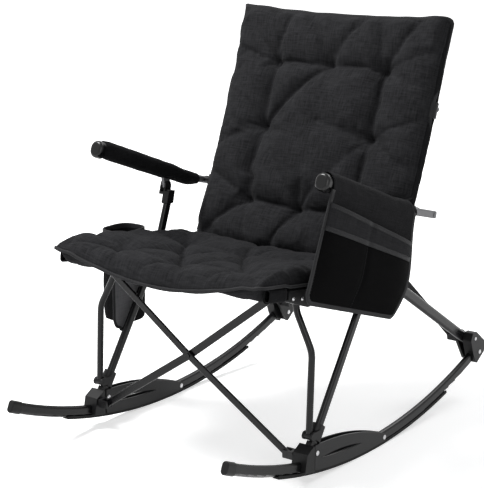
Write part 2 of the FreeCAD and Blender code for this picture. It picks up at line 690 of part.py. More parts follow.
# Seat hub: a saddle under the rail
hub_inner = leg_top_x + leg_diameter / 2 + 2 * size("link_gap")
hub_outer = rail_x + rail_wide / 2 + size("hub_wall")
hub_front = brace_top[0] - 20
hub_rear = hub_pin[0] + 17
hub_lap = size("hub_lap")
hub_points = [(hub_front, rail_z(hub_front) + hub_lap), (hub_front, rail_z(hub_front) - 15),
              moved(brace_top, 6, -20), moved(hub_pin, -11, -9), moved(hub_pin, 10, -9),
              (hub_rear, rail_z(hub_rear) - 12), (hub_rear, rail_z(hub_rear) + hub_lap)]
hub_block = feature("hub_block", Part.Face(Part.Wire([e.toShape() for e in outline(hub_points, 3)])).extrude(
    Vec(0, 0, hub_outer - hub_inner)))
hub_block.Placement = FreeCAD.Placement(Vec(hub_inner, 0, 0), FreeCAD.Rotation(Vec(1, 1, 1), 120))
front_plane = leaning(front_lug, brace_top)
front_rise = math.dist(front_lug, brace_top)
lug_face = layer + brace_t + size("lug_room")
recess = block("hub_recess", Vec(hub_inner - 1, brace_top[0] - 60, brace_top[1] - 80),
               rail_x - rail_wide / 2 + seat_gap - hub_inner + 1, 60 + lug_face, 160)
hub_lug_from = size("brace_front_top_x") - brace_w / 2
hub_lug = block("hub_lug", Vec(hub_lug_from, lug_face, front_rise - brace_w / 2),
                hub_inner + 4 - hub_lug_from, size("hub_lug_thickness"), brace_w, front_plane)
rail_room = feature("rail_room", tube(rail_points, size("rail_bend_radius"), rail_wide + 2 * seat_gap,
                                      rail_high + 2 * seat_gap))
hub_open = cut_away("hub_open", hub_block, [rail_room, recess])
add_node("seat_hub_right", joined("seat_hub", [hub_open, hub_lug]))


# Fabric sleeve round the rail, open where the hub sits
def rail_sleeve(from_y, to_y):
    lining = size("sleeve_gap")
    cloth = size("sleeve_wall")
    ends = [spot(rail_x, (y, rail_z(y))) for y in (from_y, to_y)]
    outer = tube(ends, 0, rail_wide + 2 * (lining + cloth), rail_high + 2 * (lining + cloth))
    return outer.cut(tube(ends, 0, rail_wide + 2 * lining, rail_high + 2 * lining))


sleeve_end = rail_bend[0] - size("rail_bend_radius") * 0.25
sleeve_clear = rail_high * abs(rail_slope)
add_node("seat_sleeve_right", feature("seat_sleeve", Part.makeCompound(
    [rail_sleeve(rail_front[0], hub_front - sleeve_clear), rail_sleeve(hub_rear + sleeve_clear, sleeve_end)])))

# Rear bracket: it holds the rocker's end and carries the rail's pin
bracket_r = size("bracket_radius")
bracket_wall = size("bracket_wall")
slot_inner = rail_x - rail_wide / 2 - size("link_gap")
slot_outer = rail_x + rail_wide / 2 + size("link_gap")
bracket_outer = rocker_x + rocker_wide / 2 + bracket_wall
grip = moved(rocker_end, -34, on_arc(rocker_end[0] - 34, rocker_mid) - rocker_end[1])
nose = moved(rocker_end, bracket_wall, 4)
outer_points = [moved(rear_pin, -bracket_r, -2), moved(rear_pin, -bracket_r * 0.5, bracket_r),
                moved(rear_pin, bracket_r * 0.6, bracket_r), moved(nose, 2, 14), moved(nose, 6, -10),
                moved(grip, 6, -19), moved(grip, -10, 6)]
web_points = [moved(rear_pin, 22, -2), moved(nose, 2, 14), moved(nose, 6, -10), moved(grip, 14, -17)]
cheek_points = [moved(rear_pin, -bracket_r, -4), moved(rear_pin, -bracket_r * 0.6, bracket_r),
                moved(rear_pin, bracket_r * 0.6, bracket_r), moved(nose, 2, 14), moved(nose, 6, -10),
                moved(grip, 14, -17)]


def side_block(name, points, radius, x_from, x_to):
    face = Part.Face(Part.Wire([e.toShape() for e in outline(points, radius)]))
    item = feature(name, face.extrude(Vec(0, 0, x_to - x_from)))
    item.Placement = FreeCAD.Placement(Vec(x_from, 0, 0), FreeCAD.Rotation(Vec(1, 1, 1), 120))
    return item


cheek_inner = slot_inner - size("bracket_cheek")
bracket_body = joined("bracket_body", [
    side_block("bracket_outer", outer_points, 5, slot_outer, bracket_outer),
    side_block("bracket_web", web_points, 3, slot_inner - 1, slot_outer + 1),
    side_block("bracket_cheek", cheek_points, 5, cheek_inner, slot_inner)])
rear_pin_from = size("link_rear_x") + size("brace_width") / 2 + size("link_gap")
rear_pin_to = bracket_outer - 3
rear_axle = rod("rear_axle", spot((rear_pin_from + rear_pin_to) / 2, rear_pin), ACROSS,
                rear_pin_to - rear_pin_from, "Sizes.pin_radius")
add_node("rear_bracket_right", cut_away("rear_bracket", bracket_body, [rocker_room, rear_axle, end_shank]))

# Rivets and fixed pins of the side frame
wing_grip = 2 * (wing_face + size("wing_thickness"))
add_node("frame_rivets_right", feature("frame_rivets", Part.makeCompound([
    rivet(spot(rocker_x, wing_pin), ACROSS, wing_grip),
    rivet(spot(rocker_x, wing_front_pin), ACROSS, wing_grip),
    rivet(spot((cheek_inner + bracket_outer) / 2, end_rivet), ACROSS, bracket_outer - cheek_inner),
    Part.makeCylinder(size("pin_radius"), rear_pin_to - rear_pin_from, spot(rear_pin_from, rear_pin), ACROSS),
    Part.makeCylinder(size("pin_radius"), lug_pin_length, spot(lug_pin_from, front_lug), ACROSS)])))

# Back tube on its pivot bracket
eye_half = rail_wide / 2 - size("link_gap")
cheek_t = size("cheek_thickness")
cheek_r = size("cheek_radius")
cheek_places = [rail_x - rail_wide / 2 - size("plate_gap") - cheek_t, rail_x + rail_wide / 2 + size("plate_gap")]
foot_z = rail_bend[1] - 9
cheek_outline = [(back_pin[0] - 22, foot_z + 2), (back_pin[0] + 18, foot_z - 12),
                 moved(back_pin, cheek_r, cheek_r), moved(back_pin, -cheek_r, cheek_r)]
cheeks = [plate("pivot_cheek_%d" % i, outline(cheek_outline, 6), x, "Sizes.cheek_thickness")
          for i, x in enumerate(cheek_places)]
back_axle = rod("back_axle", spot(rail_x, back_pin), ACROSS, rail_wide + 2 * cheek_t, "Sizes.pin_radius")
add_node("back_pivot_bracket_right", joined("back_pivot_bracket", cheeks + [back_axle]))

back_d = size("back_diameter")
eye_share = (cheek_r + 5) / back_chord
plug_share = eye_share + 12 / back_chord
back_bar = feature("back_bar", back_bar_solid(eye_share, 1.0, back_d))
back_bore = feature("back_bore", back_bar_solid(plug_share, 1.0, back_d - 2 * wall))
eye_ring = rod("eye_ring", spot(rail_x, back_pin), ACROSS, 2 * eye_half, "Sizes.back_diameter / 2")
neck_ends = [spot(rail_x, back_at(s)[0]) for s in (0.0, plug_share)]
eye_neck = feature("eye_neck", tube(neck_ends, 0, 2 * eye_half, back_d - 0.4))
eye_hole = rod("eye_hole", spot(rail_x, back_pin), ACROSS, 40, "Sizes.pin_radius + Sizes.pin_gap")
back_whole = joined("back_whole", [back_bar, eye_ring, eye_neck])
add_node("back_tube_right", cut_away("back_tube", back_whole, [back_bore, eye_hole]))

# Clamp for the rear brace, guide for the armrest, and the sleeve between them
hub_share = size("back_hub_share")
slide_share = size("arm_slide_share")
hub_half = size("back_hub_length") / 2 / back_chord
slide_half = size("arm_slide_length") / 2 / back_chord
lining = size("sleeve_gap")
hub_place = back_at(hub_share)[0]
clamp = feature("clamp", back_tube_part(hub_share - hub_half, hub_share + hub_half,
                                        size("back_hub_diameter"), back_d + 2 * lining))
clamp_tail = feature("clamp_tail", rivet(spot(back_x, moved(hub_place, size("back_hub_diameter") * 0.5, 0)),
                                         ACROSS, 16))
clamp_bore = feature("clamp_bore", back_bar_solid(hub_share - 2 * hub_half, hub_share + 2 * hub_half,
                                                  back_d + 2 * lining))
clamp_body = joined("clamp_body", [clamp, clamp_tail])
add_node("back_hub_right", cut_away("back_hub", clamp_body, [clamp_bore]))

slide_place = back_at(slide_share)[0]
guide_ring = feature("guide_ring", back_tube_part(slide_share - slide_half, slide_share + slide_half,
                                                  size("back_hub_diameter"), back_d + 2 * lining))
guide_end = arm_x - size("arm_width") / 2 - size("link_gap")
guide_from = back_x + back_d / 2 + 1
guide_boss = rod("guide_boss", spot((guide_from + guide_end) / 2, slide_place), ACROSS,
                 guide_end - guide_from, "Sizes.ear_radius")
add_node("arm_slide_right", joined("arm_slide", [guide_ring, guide_boss]))

sleeve_outer = back_d + 2 * (lining + size("sleeve_wall"))
sleeve_inner = back_d + 2 * lining
step = 0.5 / back_chord


def back_sleeve_part(share_from, share_to):
    # Ring of cloth round the tube, with a flap that the pad's edge is sewn to
    start, ahead = back_start(share_from)
    low = sleeve_inner / 2 + lining
    corners = [start + ACROSS * x + ahead * d
               for x, d in ((-size("flap_width"), low), (0, low), (0, sleeve_outer / 2),
                            (-size("flap_width"), sleeve_outer / 2), (-size("flap_width"), low))]
    flap = back_turned(Part.makePolygon(corners), share_from, share_to)
    return back_tube_part(share_from, share_to, sleeve_outer, sleeve_inner).fuse(flap)


add_node("back_sleeve_right", feature("back_sleeve", Part.makeCompound([
    back_sleeve_part(slide_share + slide_half + step, hub_share - hub_half - step),
    back_sleeve_part(hub_share + hub_half + step, 0.985)])))

# Armrest: bar with a lug for the fork, padded sleeve and front cap
arm_front = (size("arm_front_y"), size("arm_front_z"))
arm_bend = (size("arm_bend_y"), size("arm_bend_z"))
arm_rear = (size("arm_rear_y"), size("arm_rear_z"))
arm_points = [spot(arm_x, p) for p in (arm_front, arm_bend, arm_rear)]
arm_wide = size("arm_width")
arm_high = size("arm_height")
arm_tube = feature("arm_tube", tube(arm_points, size("arm_bend_radius"), arm_wide, arm_high, wall=wall))
arm_solid = feature("arm_solid", tube(arm_points, size("arm_bend_radius"), arm_wide, arm_high))
arm_room = feature("arm_room", tube(arm_points, size("arm_bend_radius"), arm_wide + 2 * seat_gap,
                                    arm_high + 2 * seat_gap))
arm_way = unit(arm_front, arm_bend)
arm_tail_way = unit(arm_bend, arm_rear)
bar_z = arm_front[1] + (arm_pivot[0] - arm_front[0]) * arm_way[1] / arm_way[0]
lug_half = size("lug_thickness") / 2
lug_points = [moved(arm_pivot, -8, -8), moved(arm_pivot, 8, -8), (arm_pivot[0] + 14, bar_z),
              (arm_pivot[0] - 14, bar_z + 6)]
arm_lug = side_block("arm_lug", lug_points, 4, arm_x - lug_half, arm_x + lug_half)
lug_hole = rod("lug_hole", spot(arm_x, arm_pivot), ACROSS, 40, "Sizes.pin_radius + Sizes.pin_gap")
end_stop = feature("end_stop", rivet(spot(arm_x, moved(arm_rear, -arm_tail_way[0] * 9, -arm_tail_way[1] * 9)),
                                     ACROSS, arm_wide))
lug_trim = cut_away("lug_trim", arm_lug, [arm_solid, lug_hole])
add_node("arm_bar_right", joined("arm_bar", [arm_tube, lug_trim, end_stop]))

arm_length = math.dist(arm_front, arm_bend) + math.dist(arm_bend, arm_rear)
front_part = math.dist(arm_front, arm_bend)


def arm_at(distance):
    # Place and direction along the arm bar's two straight runs
    if distance < front_part:
        return moved(arm_front, arm_way[0] * distance, arm_way[1] * distance), arm_way
    over = distance - front_part
    return moved(arm_bend, arm_tail_way[0] * over, arm_tail_way[1] * over), arm_tail_way


def arm_section(distance, scale):
    place, way = arm_at(distance)
    up = ACROSS.cross(spot(0, way))
    return oval(spot(arm_x, place) + up * size("arm_pad_lift"), ACROSS, up, size("arm_pad_width") * math.sqrt(scale),
                size("arm_pad_height") * scale)


pad_end = arm_length * size("arm_pad_rear")
taper = size("arm_pad_taper")
pad_stations = [(0.0, 0.9), (0.06, 1.0), (0.3, 1.0), (0.66, 0.97), (0.9, (1 + taper) / 2), (1.0, taper)]
pad_loft = feature("pad_loft", Part.makeLoft([arm_section(pad_end * s, k) for s, k in pad_stations], True, True))
lug_room = block("lug_room", Vec(arm_x - lug_half - 0.5, arm_pivot[0] - 16, arm_pivot[1] - 20),
                 2 * lug_half + 1, 34, bar_z - arm_pivot[1] + 30)
fork_swing = rod("fork_swing", spot(arm_x, arm_pivot), ACROSS, 2 * size("arm_pad_width"),
                 "Sizes.fork_radius * 1.22 + Sizes.link_gap")
add_node("arm_pad_right", cut_away("arm_pad", pad_loft, [arm_room, lug_room, fork_swing]))

cap_start = spot(arm_x, moved(arm_front, arm_way[0] * -0.2, arm_way[1] * -0.2))
cap_along = spot(0, arm_way)
cap_ends = [cap_start - cap_along * size("arm_cap_length"), cap_start]
arm_cap_bar = tube(cap_ends, 0, size("arm_pad_width") * 0.98, size("arm_pad_height") * 0.94)
arm_cap_nose = min(arm_cap_bar.Faces, key=lambda f: f.CenterOfMass.y)
add_node("arm_cap_right", feature("arm_cap", arm_cap_bar.makeFillet(size("arm_cap_length") * 0.4,
                                                                   arm_cap_nose.Edges)))

# Links and crossed braces, made flat in a plane through both pins and then leaned into place
def link(label, plane, pin_x, base_x):
    # U-link: a base on the frame's pin and two cheeks that hold the brace
    half = size("link_height") / 2
    inner = layer + brace_t + link_gap
    outer = inner + size("link_cheek")
    base_from = pin_x + brace_w / 2 + link_gap
    base = block(label + "_base", Vec(base_from, -outer, -half), base_x - base_from, 2 * outer, 2 * half, plane)
    cheeks = [block(label + "_cheek_%d" % i, Vec(pin_x - half, low, -half), base_x - pin_x + half,
                    size("link_cheek"), 2 * half, plane)
              for i, low in enumerate((-outer, inner))]
    bore = rod(label + "_bore", plane.multVec(Vec(base_x, 0, 0)), ACROSS, 4 * (base_x - pin_x),
               "Sizes.pin_radius + Sizes.pin_gap")
    body = cut_away(label + "_body", joined(label + "_fork", [base] + cheeks), [bore])
    way = plane.Rotation.multVec(Vec(0, 1, 0))
    pin = rod(label + "_pin", plane.multVec(Vec(pin_x, 0, 0)), way, 2 * outer + 1, "Sizes.rivet_radius")
    return add_node(label + "_right", joined(label, [body, pin]))


def brace(label, plane, side, pin_x, top_x, rise, dip, front, spacer):
    # Flat bar from the pin on one side to the rivet on the other
    middle = rise * pin_x / (pin_x + top_x) - dip
    points = [Vec(side * pin_x, 0, 0), Vec(0, 0, middle), Vec(-side * top_x, 0, rise)]
    shift = Vec(0, (-1 if front else 1) * (layer + brace_t / 2), 0)
    points = [p + shift for p in points]
    if dip > 0.1:
        bar_shape = tube(points, size("brace_bend_radius"), brace_t, brace_w, side=Vec(0, 1, 0))
    else:
        bar_shape = tube([points[0], points[-1]], 0, brace_t, brace_w, side=Vec(0, 1, 0))
    bar = feature(label + "_bar", bar_shape)
    bar.Placement = plane.multiply(bar.Placement)
    way = plane.Rotation.multVec(Vec(0, 1, 0))
    eyes = [rod(label + "_eye_%d" % i, plane.multVec(points[i]), way, brace_t, "Sizes.brace_width / 2")
            for i in (0, -1)]
    face = -1 if front else 1
    high = size("rivet_head_height")
    middle_point = Vec(0, points[0].y, middle)
    heads = [rod(label + "_cross_head", plane.multVec(middle_point + Vec(0, face * brace_t / 2, 0)), way,
                 2 * high, "Sizes.rivet_head_radius"),
             rod(label + "_top_head", plane.multVec(points[-1] - Vec(0, brace_t / 2, 0)), way,
                 2 * high, "Sizes.rivet_head_radius")]
    if spacer > 0:
        rear_face = points[-1].y + brace_t / 2
        reach_back = layer + brace_t + spacer - rear_face
        heads.append(rod(label + "_spacer", plane.multVec(Vec(points[-1].x, rear_face + reach_back / 2, rise)), way,
                         reach_back, "Sizes.rivet_head_radius"))
    hole = rod(label + "_hole", plane.multVec(points[0]), way, 4 * brace_t, "Sizes.rivet_radius + Sizes.pin_gap")
    return add_node(label, cut_away(label, joined(label + "_whole", [bar] + eyes + heads), [hole]))


link("front_link", front_plane, size("link_front_x"), rocker_x - foot_half - 2 - link_gap)
for name, side, front in (("front_brace_a", 1, True), ("front_brace_b", -1, False)):
    brace(name, front_plane, side, size("link_front_x"), size("brace_front_top_x"), front_rise,
          size("brace_front_dip"), front, size("lug_room") / 2)
rear_plane = leaning(rear_pin, hub_place)
rear_rise = math.dist(rear_pin, hub_place)
link("rear_link", rear_plane, size("link_rear_x"), cheek_inner - link_gap)
for name, side, front in (("rear_brace_a", 1, True), ("rear_brace_b", -1, False)):
    brace(name, rear_plane, side, size("link_rear_x"), size("brace_rear_top_x"), rear_rise, 0, front, 0)


# Tufted pads: lofts through crowned sections, pressed in at the tufts
def pad_section(place, half, flat_half, edge, low, low_middle, high_middle):
    # place(x, d) gives the point at x and at height d over the pad's own base line
    nip = edge / 2
    rim = nip * math.sqrt(0.5)

    def rim_arcs(sign):
        inner = sign * (half - nip)
        first = Part.Arc(place(inner, low), place(inner + sign * rim, low + nip - rim), place(sign * half, low + nip))
        second = Part.Arc(place(sign * half, low + nip), place(inner + sign * rim, low + nip + rim),
                          place(inner, low + edge))
        return first, second

    right_low, right_high = rim_arcs(1)
    left_low, left_high = rim_arcs(-1)
    edges = [Part.Arc(place(-flat_half, low), place(0, low_middle), place(flat_half, low)),
             Part.LineSegment(place(flat_half, low), place(half - nip, low)), right_low, right_high,
             Part.Arc(place(half - nip, low + edge), place(0, high_middle), place(nip - half, low + edge)),
             left_high, left_low, Part.LineSegment(place(nip - half, low), place(-flat_half, low))]
    return Part.Wire(Part.__sortEdges__([e.toShape() for e in edges]))


rail_lift = rail_high / 2 / rail_way[0] + size("sleeve_gap") + size("sleeve_wall") + size("pad_gap")
seat_front = size("seat_front_y")
seat_rear = size("seat_rear_y")
seat_sag = size("seat_sag")
seat_thick = size("seat_thickness")
seat_half = rocker_x - post_wide / 2 - size("seat_post_gap")
# share along the seat, share of the sag, share of the thickness, share of the side's growth, drawn-in sides
SEAT_STATIONS = [(0.0, 0.94, 0.7, 0.0, 6), (0.05, 0.98, 0.86, 0.25, 0), (0.22, 1.0, 1.0, 1.0, 4),
                 (0.5, 1.0, 1.06, 1.0, 6), (0.82, 0.8, 0.95, 0.55, 5), (1.0, 0.6, 0.66, 0.1, 8)]


def seat_place(y):
    base = rail_z(y) + rail_lift
    return lambda x, d: Vec(x, y, base + d)


def seat_section(share, sag, thick, side, drawn):
    y = seat_front + share * (seat_rear - seat_front)
    middle = -seat_sag * sag
    edge = size("seat_edge") + side * (size("seat_side") - size("seat_edge"))
    return pad_section(seat_place(y), seat_half - drawn, seat_half - size("seat_side_flat"), edge,
                       0, middle, middle + seat_thick * thick)


def tufts(places, way):
    ball = size("tuft_radius")
    return [Part.makeSphere(ball, p + way * (ball - size("tuft_depth"))) for p in places]


seat_loft = Part.makeLoft([seat_section(*s) for s in SEAT_STATIONS], True, True)
seat_up = Vec(0, -rail_way[1], rail_way[0])


def seat_top(x, y):
    place = seat_place(y)
    line = Part.makeLine(place(x, -2 * seat_sag), place(x, 2 * seat_thick))
    return max(line.common(seat_loft).BoundBox.ZMax, 0)


seat_rows = [seat_front + (seat_rear - seat_front) * s for s in (0.2, 0.44, 0.68)]
seat_tufts = [Vec(x, y, seat_top(x, y)) for i, y in enumerate(seat_rows)
              for x in ((-170, 0, 170) if i % 2 == 0 else (-85, 85))]
add_node("seat_pad", feature("seat_pad", seat_loft.cut(Part.makeCompound(tufts(seat_tufts, seat_up)))))

back_lift = back_d / 2 + size("sleeve_gap") + size("sleeve_wall") + size("pad_gap")
back_sag = size("back_sag")
back_thick = size("back_thickness")
BACK_STATIONS = [(0.0, 0.5, 0.6, 6), (0.05, 0.7, 0.8, 1), (0.28, 1.0, 1.0, 5), (0.55, 1.0, 1.0, 6),
                 (0.8, 0.9, 0.92, 5), (0.96, 0.6, 0.66, 1), (1.0, 0.4, 0.45, 5)]


def back_place(share):
    place, way = back_at(share)
    ahead = Vec(0, -way[1], way[0])
    return lambda x, d: spot(x, place) + ahead * (back_lift + d)


def back_section(share, sag, thick, drawn):
    start = size("back_pad_start") / back_chord
    along = start + share * (1 + size("back_over_top") / back_chord - start)
    middle = -back_sag * sag
    return pad_section(back_place(along), size("back_half_width") - drawn, size("back_flat"), size("back_edge"),
                       0, middle, middle + back_thick * thick)


back_loft = Part.makeLoft([back_section(*s) for s in BACK_STATIONS], True, True)


def back_front(x, share):
    place = back_place(share)
    line = Part.makeLine(place(x, -60), place(x, 120)).common(back_loft)
    far = min(line.Vertexes, key=lambda v: v.Point.y).Point
    return far


back_rows = [0.18, 0.5, 0.77]
back_ahead = Vec(0, -back_lean[1], back_lean[0])
back_tufts = [back_front(x, s) for s in back_rows for x in (-147, 0, 147)]
add_node("back_pad", feature("back_pad", back_loft.cut(Part.makeCompound(tufts(back_tufts, back_ahead)))))

# Organizer hung on the outside of the right armrest
panel_x = arm_x + size("arm_pad_width") / 2 + 0.5
panel_t = size("panel_thickness")
panel_way = unit(arm_front, arm_rear)
panel_corner = moved(arm_front, -2, -10)
panel_top = size("panel_top")
panel_drop = size("panel_drop")


def on_panel(along, down):
    return (panel_corner[0] + panel_way[0] * along + panel_way[1] * down * 1.25,
            panel_corner[1] + panel_way[1] * along - panel_way[0] * down)


panel_points = [on_panel(0, 0), on_panel(panel_top, 0), on_panel(panel_top + 30, panel_drop * 0.68),
                on_panel(panel_top + 6, panel_drop + 6), on_panel(-6, panel_drop)]
add_node("organizer_panel", plate("organizer_panel", outline(panel_points, 14), panel_x, "Sizes.panel_thickness"))
pocket_drop = size("pocket_drop")
pocket_x = panel_x + panel_t + 0.1
cloth = size("cloth_wall")
pocket_high = size("pocket_depth") + cloth


def pocket_outline(inset, top):
    return [on_panel(-1 + inset, top), on_panel(panel_top + 12 - inset, top + size("pocket_slope")),
            on_panel(panel_top + 30 - inset * 1.4, panel_drop * 0.68),
            on_panel(panel_top - inset, panel_drop - inset), on_panel(-6 + inset, panel_drop - inset)]


pocket_block = side_block("pocket_block", pocket_outline(0.5, pocket_drop), 6, pocket_x, pocket_x + pocket_high)
pocket_room = side_block("pocket_room", pocket_outline(cloth + 1, pocket_drop - 30), 5,
                         pocket_x - 1, pocket_x + size("pocket_depth"))
add_node("organizer_pocket", cut_away("organizer_pocket", pocket_block, [pocket_room]))

# Cup pouch beside the left post: a panel strapped to the post, and the pouch on its outer face
panel_face = -rocker_x - size("pouch_clear")
pouch_z = size("pouch_bottom_z")
pouch_high = size("pouch_height")
panel_top_z = pouch_z + pouch_high + 2


def post_y(z):
    # Middle of the post at a height
    if z < post_bend[1]:
        return post_foot[0] + (z - post_foot[1]) * post_way[0] / post_way[1]
    return post_bend[0] + (z - post_bend[1]) * (post_top[0] - post_bend[0]) / (post_top[1] - post_bend[1])


cup_points = [(size("panel_front_y"), pouch_z + 8), (post_y(pouch_z) + size("panel_past_post"), pouch_z - 6),
              (post_y(pouch_z + 30) + size("panel_past_post"), pouch_z + 30),
              (post_y(panel_top_z) + size("panel_past_post"), panel_top_z), (size("panel_front_y"), panel_top_z)]
cup_sheet = side_block("cup_sheet", cup_points, 10, panel_face - panel_t, panel_face)
straps = []
post_run = math.dist(post_foot, post_bend)
post_top_way = unit(post_bend, post_top)
for i, alias in enumerate(("strap_low", "strap_high")):
    distance = size(alias)
    if distance < post_run:
        place, way = moved(post_foot, post_way[0] * distance, post_way[1] * distance), post_way
    else:
        over = distance - post_run
        place, way = moved(post_bend, post_top_way[0] * over, post_top_way[1] * over), post_top_way
    half = spot(0, way) * (size("strap_width") / 2)
    middle = spot(-rocker_x, place)
    grip_wide = post_wide + 2 * slide_gap
    grip_high = post_high + 2 * slide_gap
    band = tube([middle - half, middle + half], 0, grip_wide + 2 * cloth, grip_high + 2 * cloth)
    band_room = tube([middle - half * 2, middle + half * 2], 0, grip_wide, grip_high)
    tab_from = middle + Vec(-grip_wide / 2 - cloth / 2, 0, 0)
    tab_to = Vec(panel_face - panel_t / 2, tab_from.y, tab_from.z)
    tab = Part.makeBox(tab_from.x - tab_to.x, 10, size("strap_width") * 0.7,
                       tab_to - Vec(0, 5, size("strap_width") * 0.35))
    straps.append(feature("strap_%d" % i, band.fuse(tab).cut(band_room)))
add_node("cup_panel", joined("cup_panel", [cup_sheet] + straps))

pouch_x = panel_face - panel_t - 0.3
pouch_wide = size("pouch_width")
pouch_long = size("pouch_length")
pouch_front = size("pouch_front_y")


def pouch_shell(inset, bottom, top):
    corner = size("pouch_corner") - inset
    box = Part.makeBox(pouch_wide - 2 * inset, pouch_long - 2 * inset, top - bottom,
                       Vec(pouch_x - pouch_wide + inset, pouch_front + inset, bottom))
    upright = [e for e in box.Edges if abs(e.tangentAt(e.FirstParameter).z) > 0.99]
    rounded = box.makeFillet(corner, upright)
    floor_edges = [e for e in rounded.Edges if e.BoundBox.ZMax < bottom + 0.01]
    return rounded.makeFillet(cloth * 4 - inset, floor_edges)


pouch_outer = pouch_shell(0, pouch_z, pouch_z + pouch_high)
pouch_inner = pouch_shell(cloth, pouch_z + cloth, pouch_z + pouch_high + 20)
add_node("cup_pouch", feature("cup_pouch", pouch_outer.cut(pouch_inner)))

# Left side: mirror image of every piece of the right side
for item in list(nodes):
    if item.Label.endswith("_right"):
        twin = doc.addObject("Part::Mirroring", item.Name + "_left")
        twin.Source = item
        twin.Normal = ACROSS
        add_node(item.Label.replace("_right", "_left"), twin)

doc.recompute()
for item in doc.Objects:
    if "Invalid" in item.State or "Error" in item.State:
        raise RuntimeError("failed: %s %s" % (item.Name, item.State))
for item in nodes:
    if item.Shape.isNull() or not item.Shape.isValid() or item.Shape.Volume <= 0:
        raise RuntimeError("bad shape: " + item.Label)

os.makedirs("parts", exist_ok=True)
for item in nodes:
    item.Shape.exportStep("parts/" + item.Label + ".step")
print(len(nodes), "pieces written")
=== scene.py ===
import math

import bmesh
import bpy
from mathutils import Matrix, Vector, noise


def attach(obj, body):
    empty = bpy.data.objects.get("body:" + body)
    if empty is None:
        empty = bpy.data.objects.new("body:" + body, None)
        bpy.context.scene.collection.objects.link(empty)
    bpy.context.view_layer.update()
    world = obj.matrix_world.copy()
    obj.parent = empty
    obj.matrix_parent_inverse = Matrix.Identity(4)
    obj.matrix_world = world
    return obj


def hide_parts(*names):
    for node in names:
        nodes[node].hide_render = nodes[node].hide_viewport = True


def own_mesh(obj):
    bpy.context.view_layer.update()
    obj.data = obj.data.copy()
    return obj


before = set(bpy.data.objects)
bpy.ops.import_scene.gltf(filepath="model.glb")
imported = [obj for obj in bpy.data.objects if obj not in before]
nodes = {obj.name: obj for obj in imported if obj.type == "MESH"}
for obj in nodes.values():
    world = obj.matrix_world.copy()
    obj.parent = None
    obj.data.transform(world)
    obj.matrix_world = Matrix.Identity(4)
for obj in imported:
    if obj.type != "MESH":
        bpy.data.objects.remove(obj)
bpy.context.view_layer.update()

across = Vector((1, 0, 0))
bothSides = ((1, "right"), (-1, "left"))
print("frame loaded with", len(nodes), "nodes")


def setUp(item, **settings):
    for key, value in settings.items():
        setattr(item, key, value)
    return item


# shader maths: a socket that can be added, subtracted and scaled
class Signal:
    def __init__(self, wiring, socket):
        self.wiring = wiring
        self.socket = socket

    def also(self, output):  # another output of the same node
        return Signal(self.wiring, self.socket.node.outputs[output])

    def maths(self, operation, first, second=0.0):
        return self.wiring.node("ShaderNodeMath", {"operation": operation}, {0: first, 1: second})

    def __add__(self, other):
        return self.maths("ADD", self, other)

    def __radd__(self, other):
        return self.maths("ADD", other, self)

    def __sub__(self, other):
        return self.maths("SUBTRACT", self, other)

    def __rsub__(self, other):
        return self.maths("SUBTRACT", other, self)

    def __mul__(self, other):
        return self.maths("MULTIPLY", self, other)

    def __rmul__(self, other):
        return self.maths("MULTIPLY", other, self)

    def wave(self, pitch):
        return self.maths("SINE", self * (2 * math.pi / pitch))

    def over(self, other):
        return self.maths("MAXIMUM", self, other)


# a node tree, and the one way to add a node to it
class Wiring:
    def __init__(self, tree):
        self.tree = tree

    def node(self, kind, settings=None, inputs=None, output=0):
        made = setUp(self.tree.nodes.new(kind), **(settings or {}))
        for key, value in (inputs or {}).items():
            for item in value if isinstance(value, list) else [value]:
                if isinstance(item, Signal):
                    self.tree.links.new(item.socket, made.inputs[key])
                else:
                    made.inputs[key].default_value = item
        return Signal(self, made.outputs[output]) if len(made.outputs) else None


class Paint(Wiring):
    def __init__(self, name, store="materials"):
        self.owner = getattr(bpy.data, store).new(name)
        self.owner.use_nodes = True
        super().__init__(self.owner.node_tree)
        self.tree.nodes.clear()

    def place(self, coordinates="Object", scale=(1, 1, 1)):
        start = self.node("ShaderNodeTexCoord", output=coordinates)
        return self.node("ShaderNodeMapping", None, {"Vector": start, "Scale": scale})

    def split(self, vector):
        first = self.node("ShaderNodeSeparateXYZ", None, {0: vector})
        return first, first.also(1), first.also(2)

    def noise(self, vector, scale, detail=2.0, rough=0.5):
        return self.node("ShaderNodeTexNoise", None,
                         {"Vector": vector, "Scale": scale, "Detail": detail, "Roughness": rough})

    def band(self, value, low, high):
        return self.node("ShaderNodeMapRange", {"clamp": True}, {0: value, 1: low, 2: high, 3: 0.0, 4: 1.0})

    def blend(self, share, *colours):
        first, second = ((*c, 1) if isinstance(c, tuple) else c for c in colours)
        return self.node("ShaderNodeMix", {"data_type": "RGBA"}, {0: share, 6: first, 7: second}, output=2)

    def bump(self, height, distance, strength=1.0, under=None):
        inputs = {"Height": height, "Distance": distance, "Strength": strength}
        if under:
            inputs["Normal"] = under
        return self.node("ShaderNodeBump", None, inputs)

    def seen(self):
        # 1 for what the camera, a reflection or glass shows, 0 for light on its way
        rays = self.node("ShaderNodeLightPath", output="Is Camera Ray")
        return rays.over(rays.also("Is Glossy Ray")).over(rays.also("Is Transmission Ray"))

    def finish(self, **sockets):
        inputs = {key.replace("_", " "): value for key, value in sockets.items()}
        shader = self.node("ShaderNodeBsdfPrincipled", None, inputs)
        self.node("ShaderNodeOutputMaterial", None, {"Surface": shader})
        return self.owner


# sizes are repeats per metre, and depths of relief in metres
weave = dict(fine=(900, 60), slub=(330, 26), patch=14.0, crease=38.0, creaseDepth=0.0012, threadDepth=0.00016,
             sheen=0.02, shine=0.025)


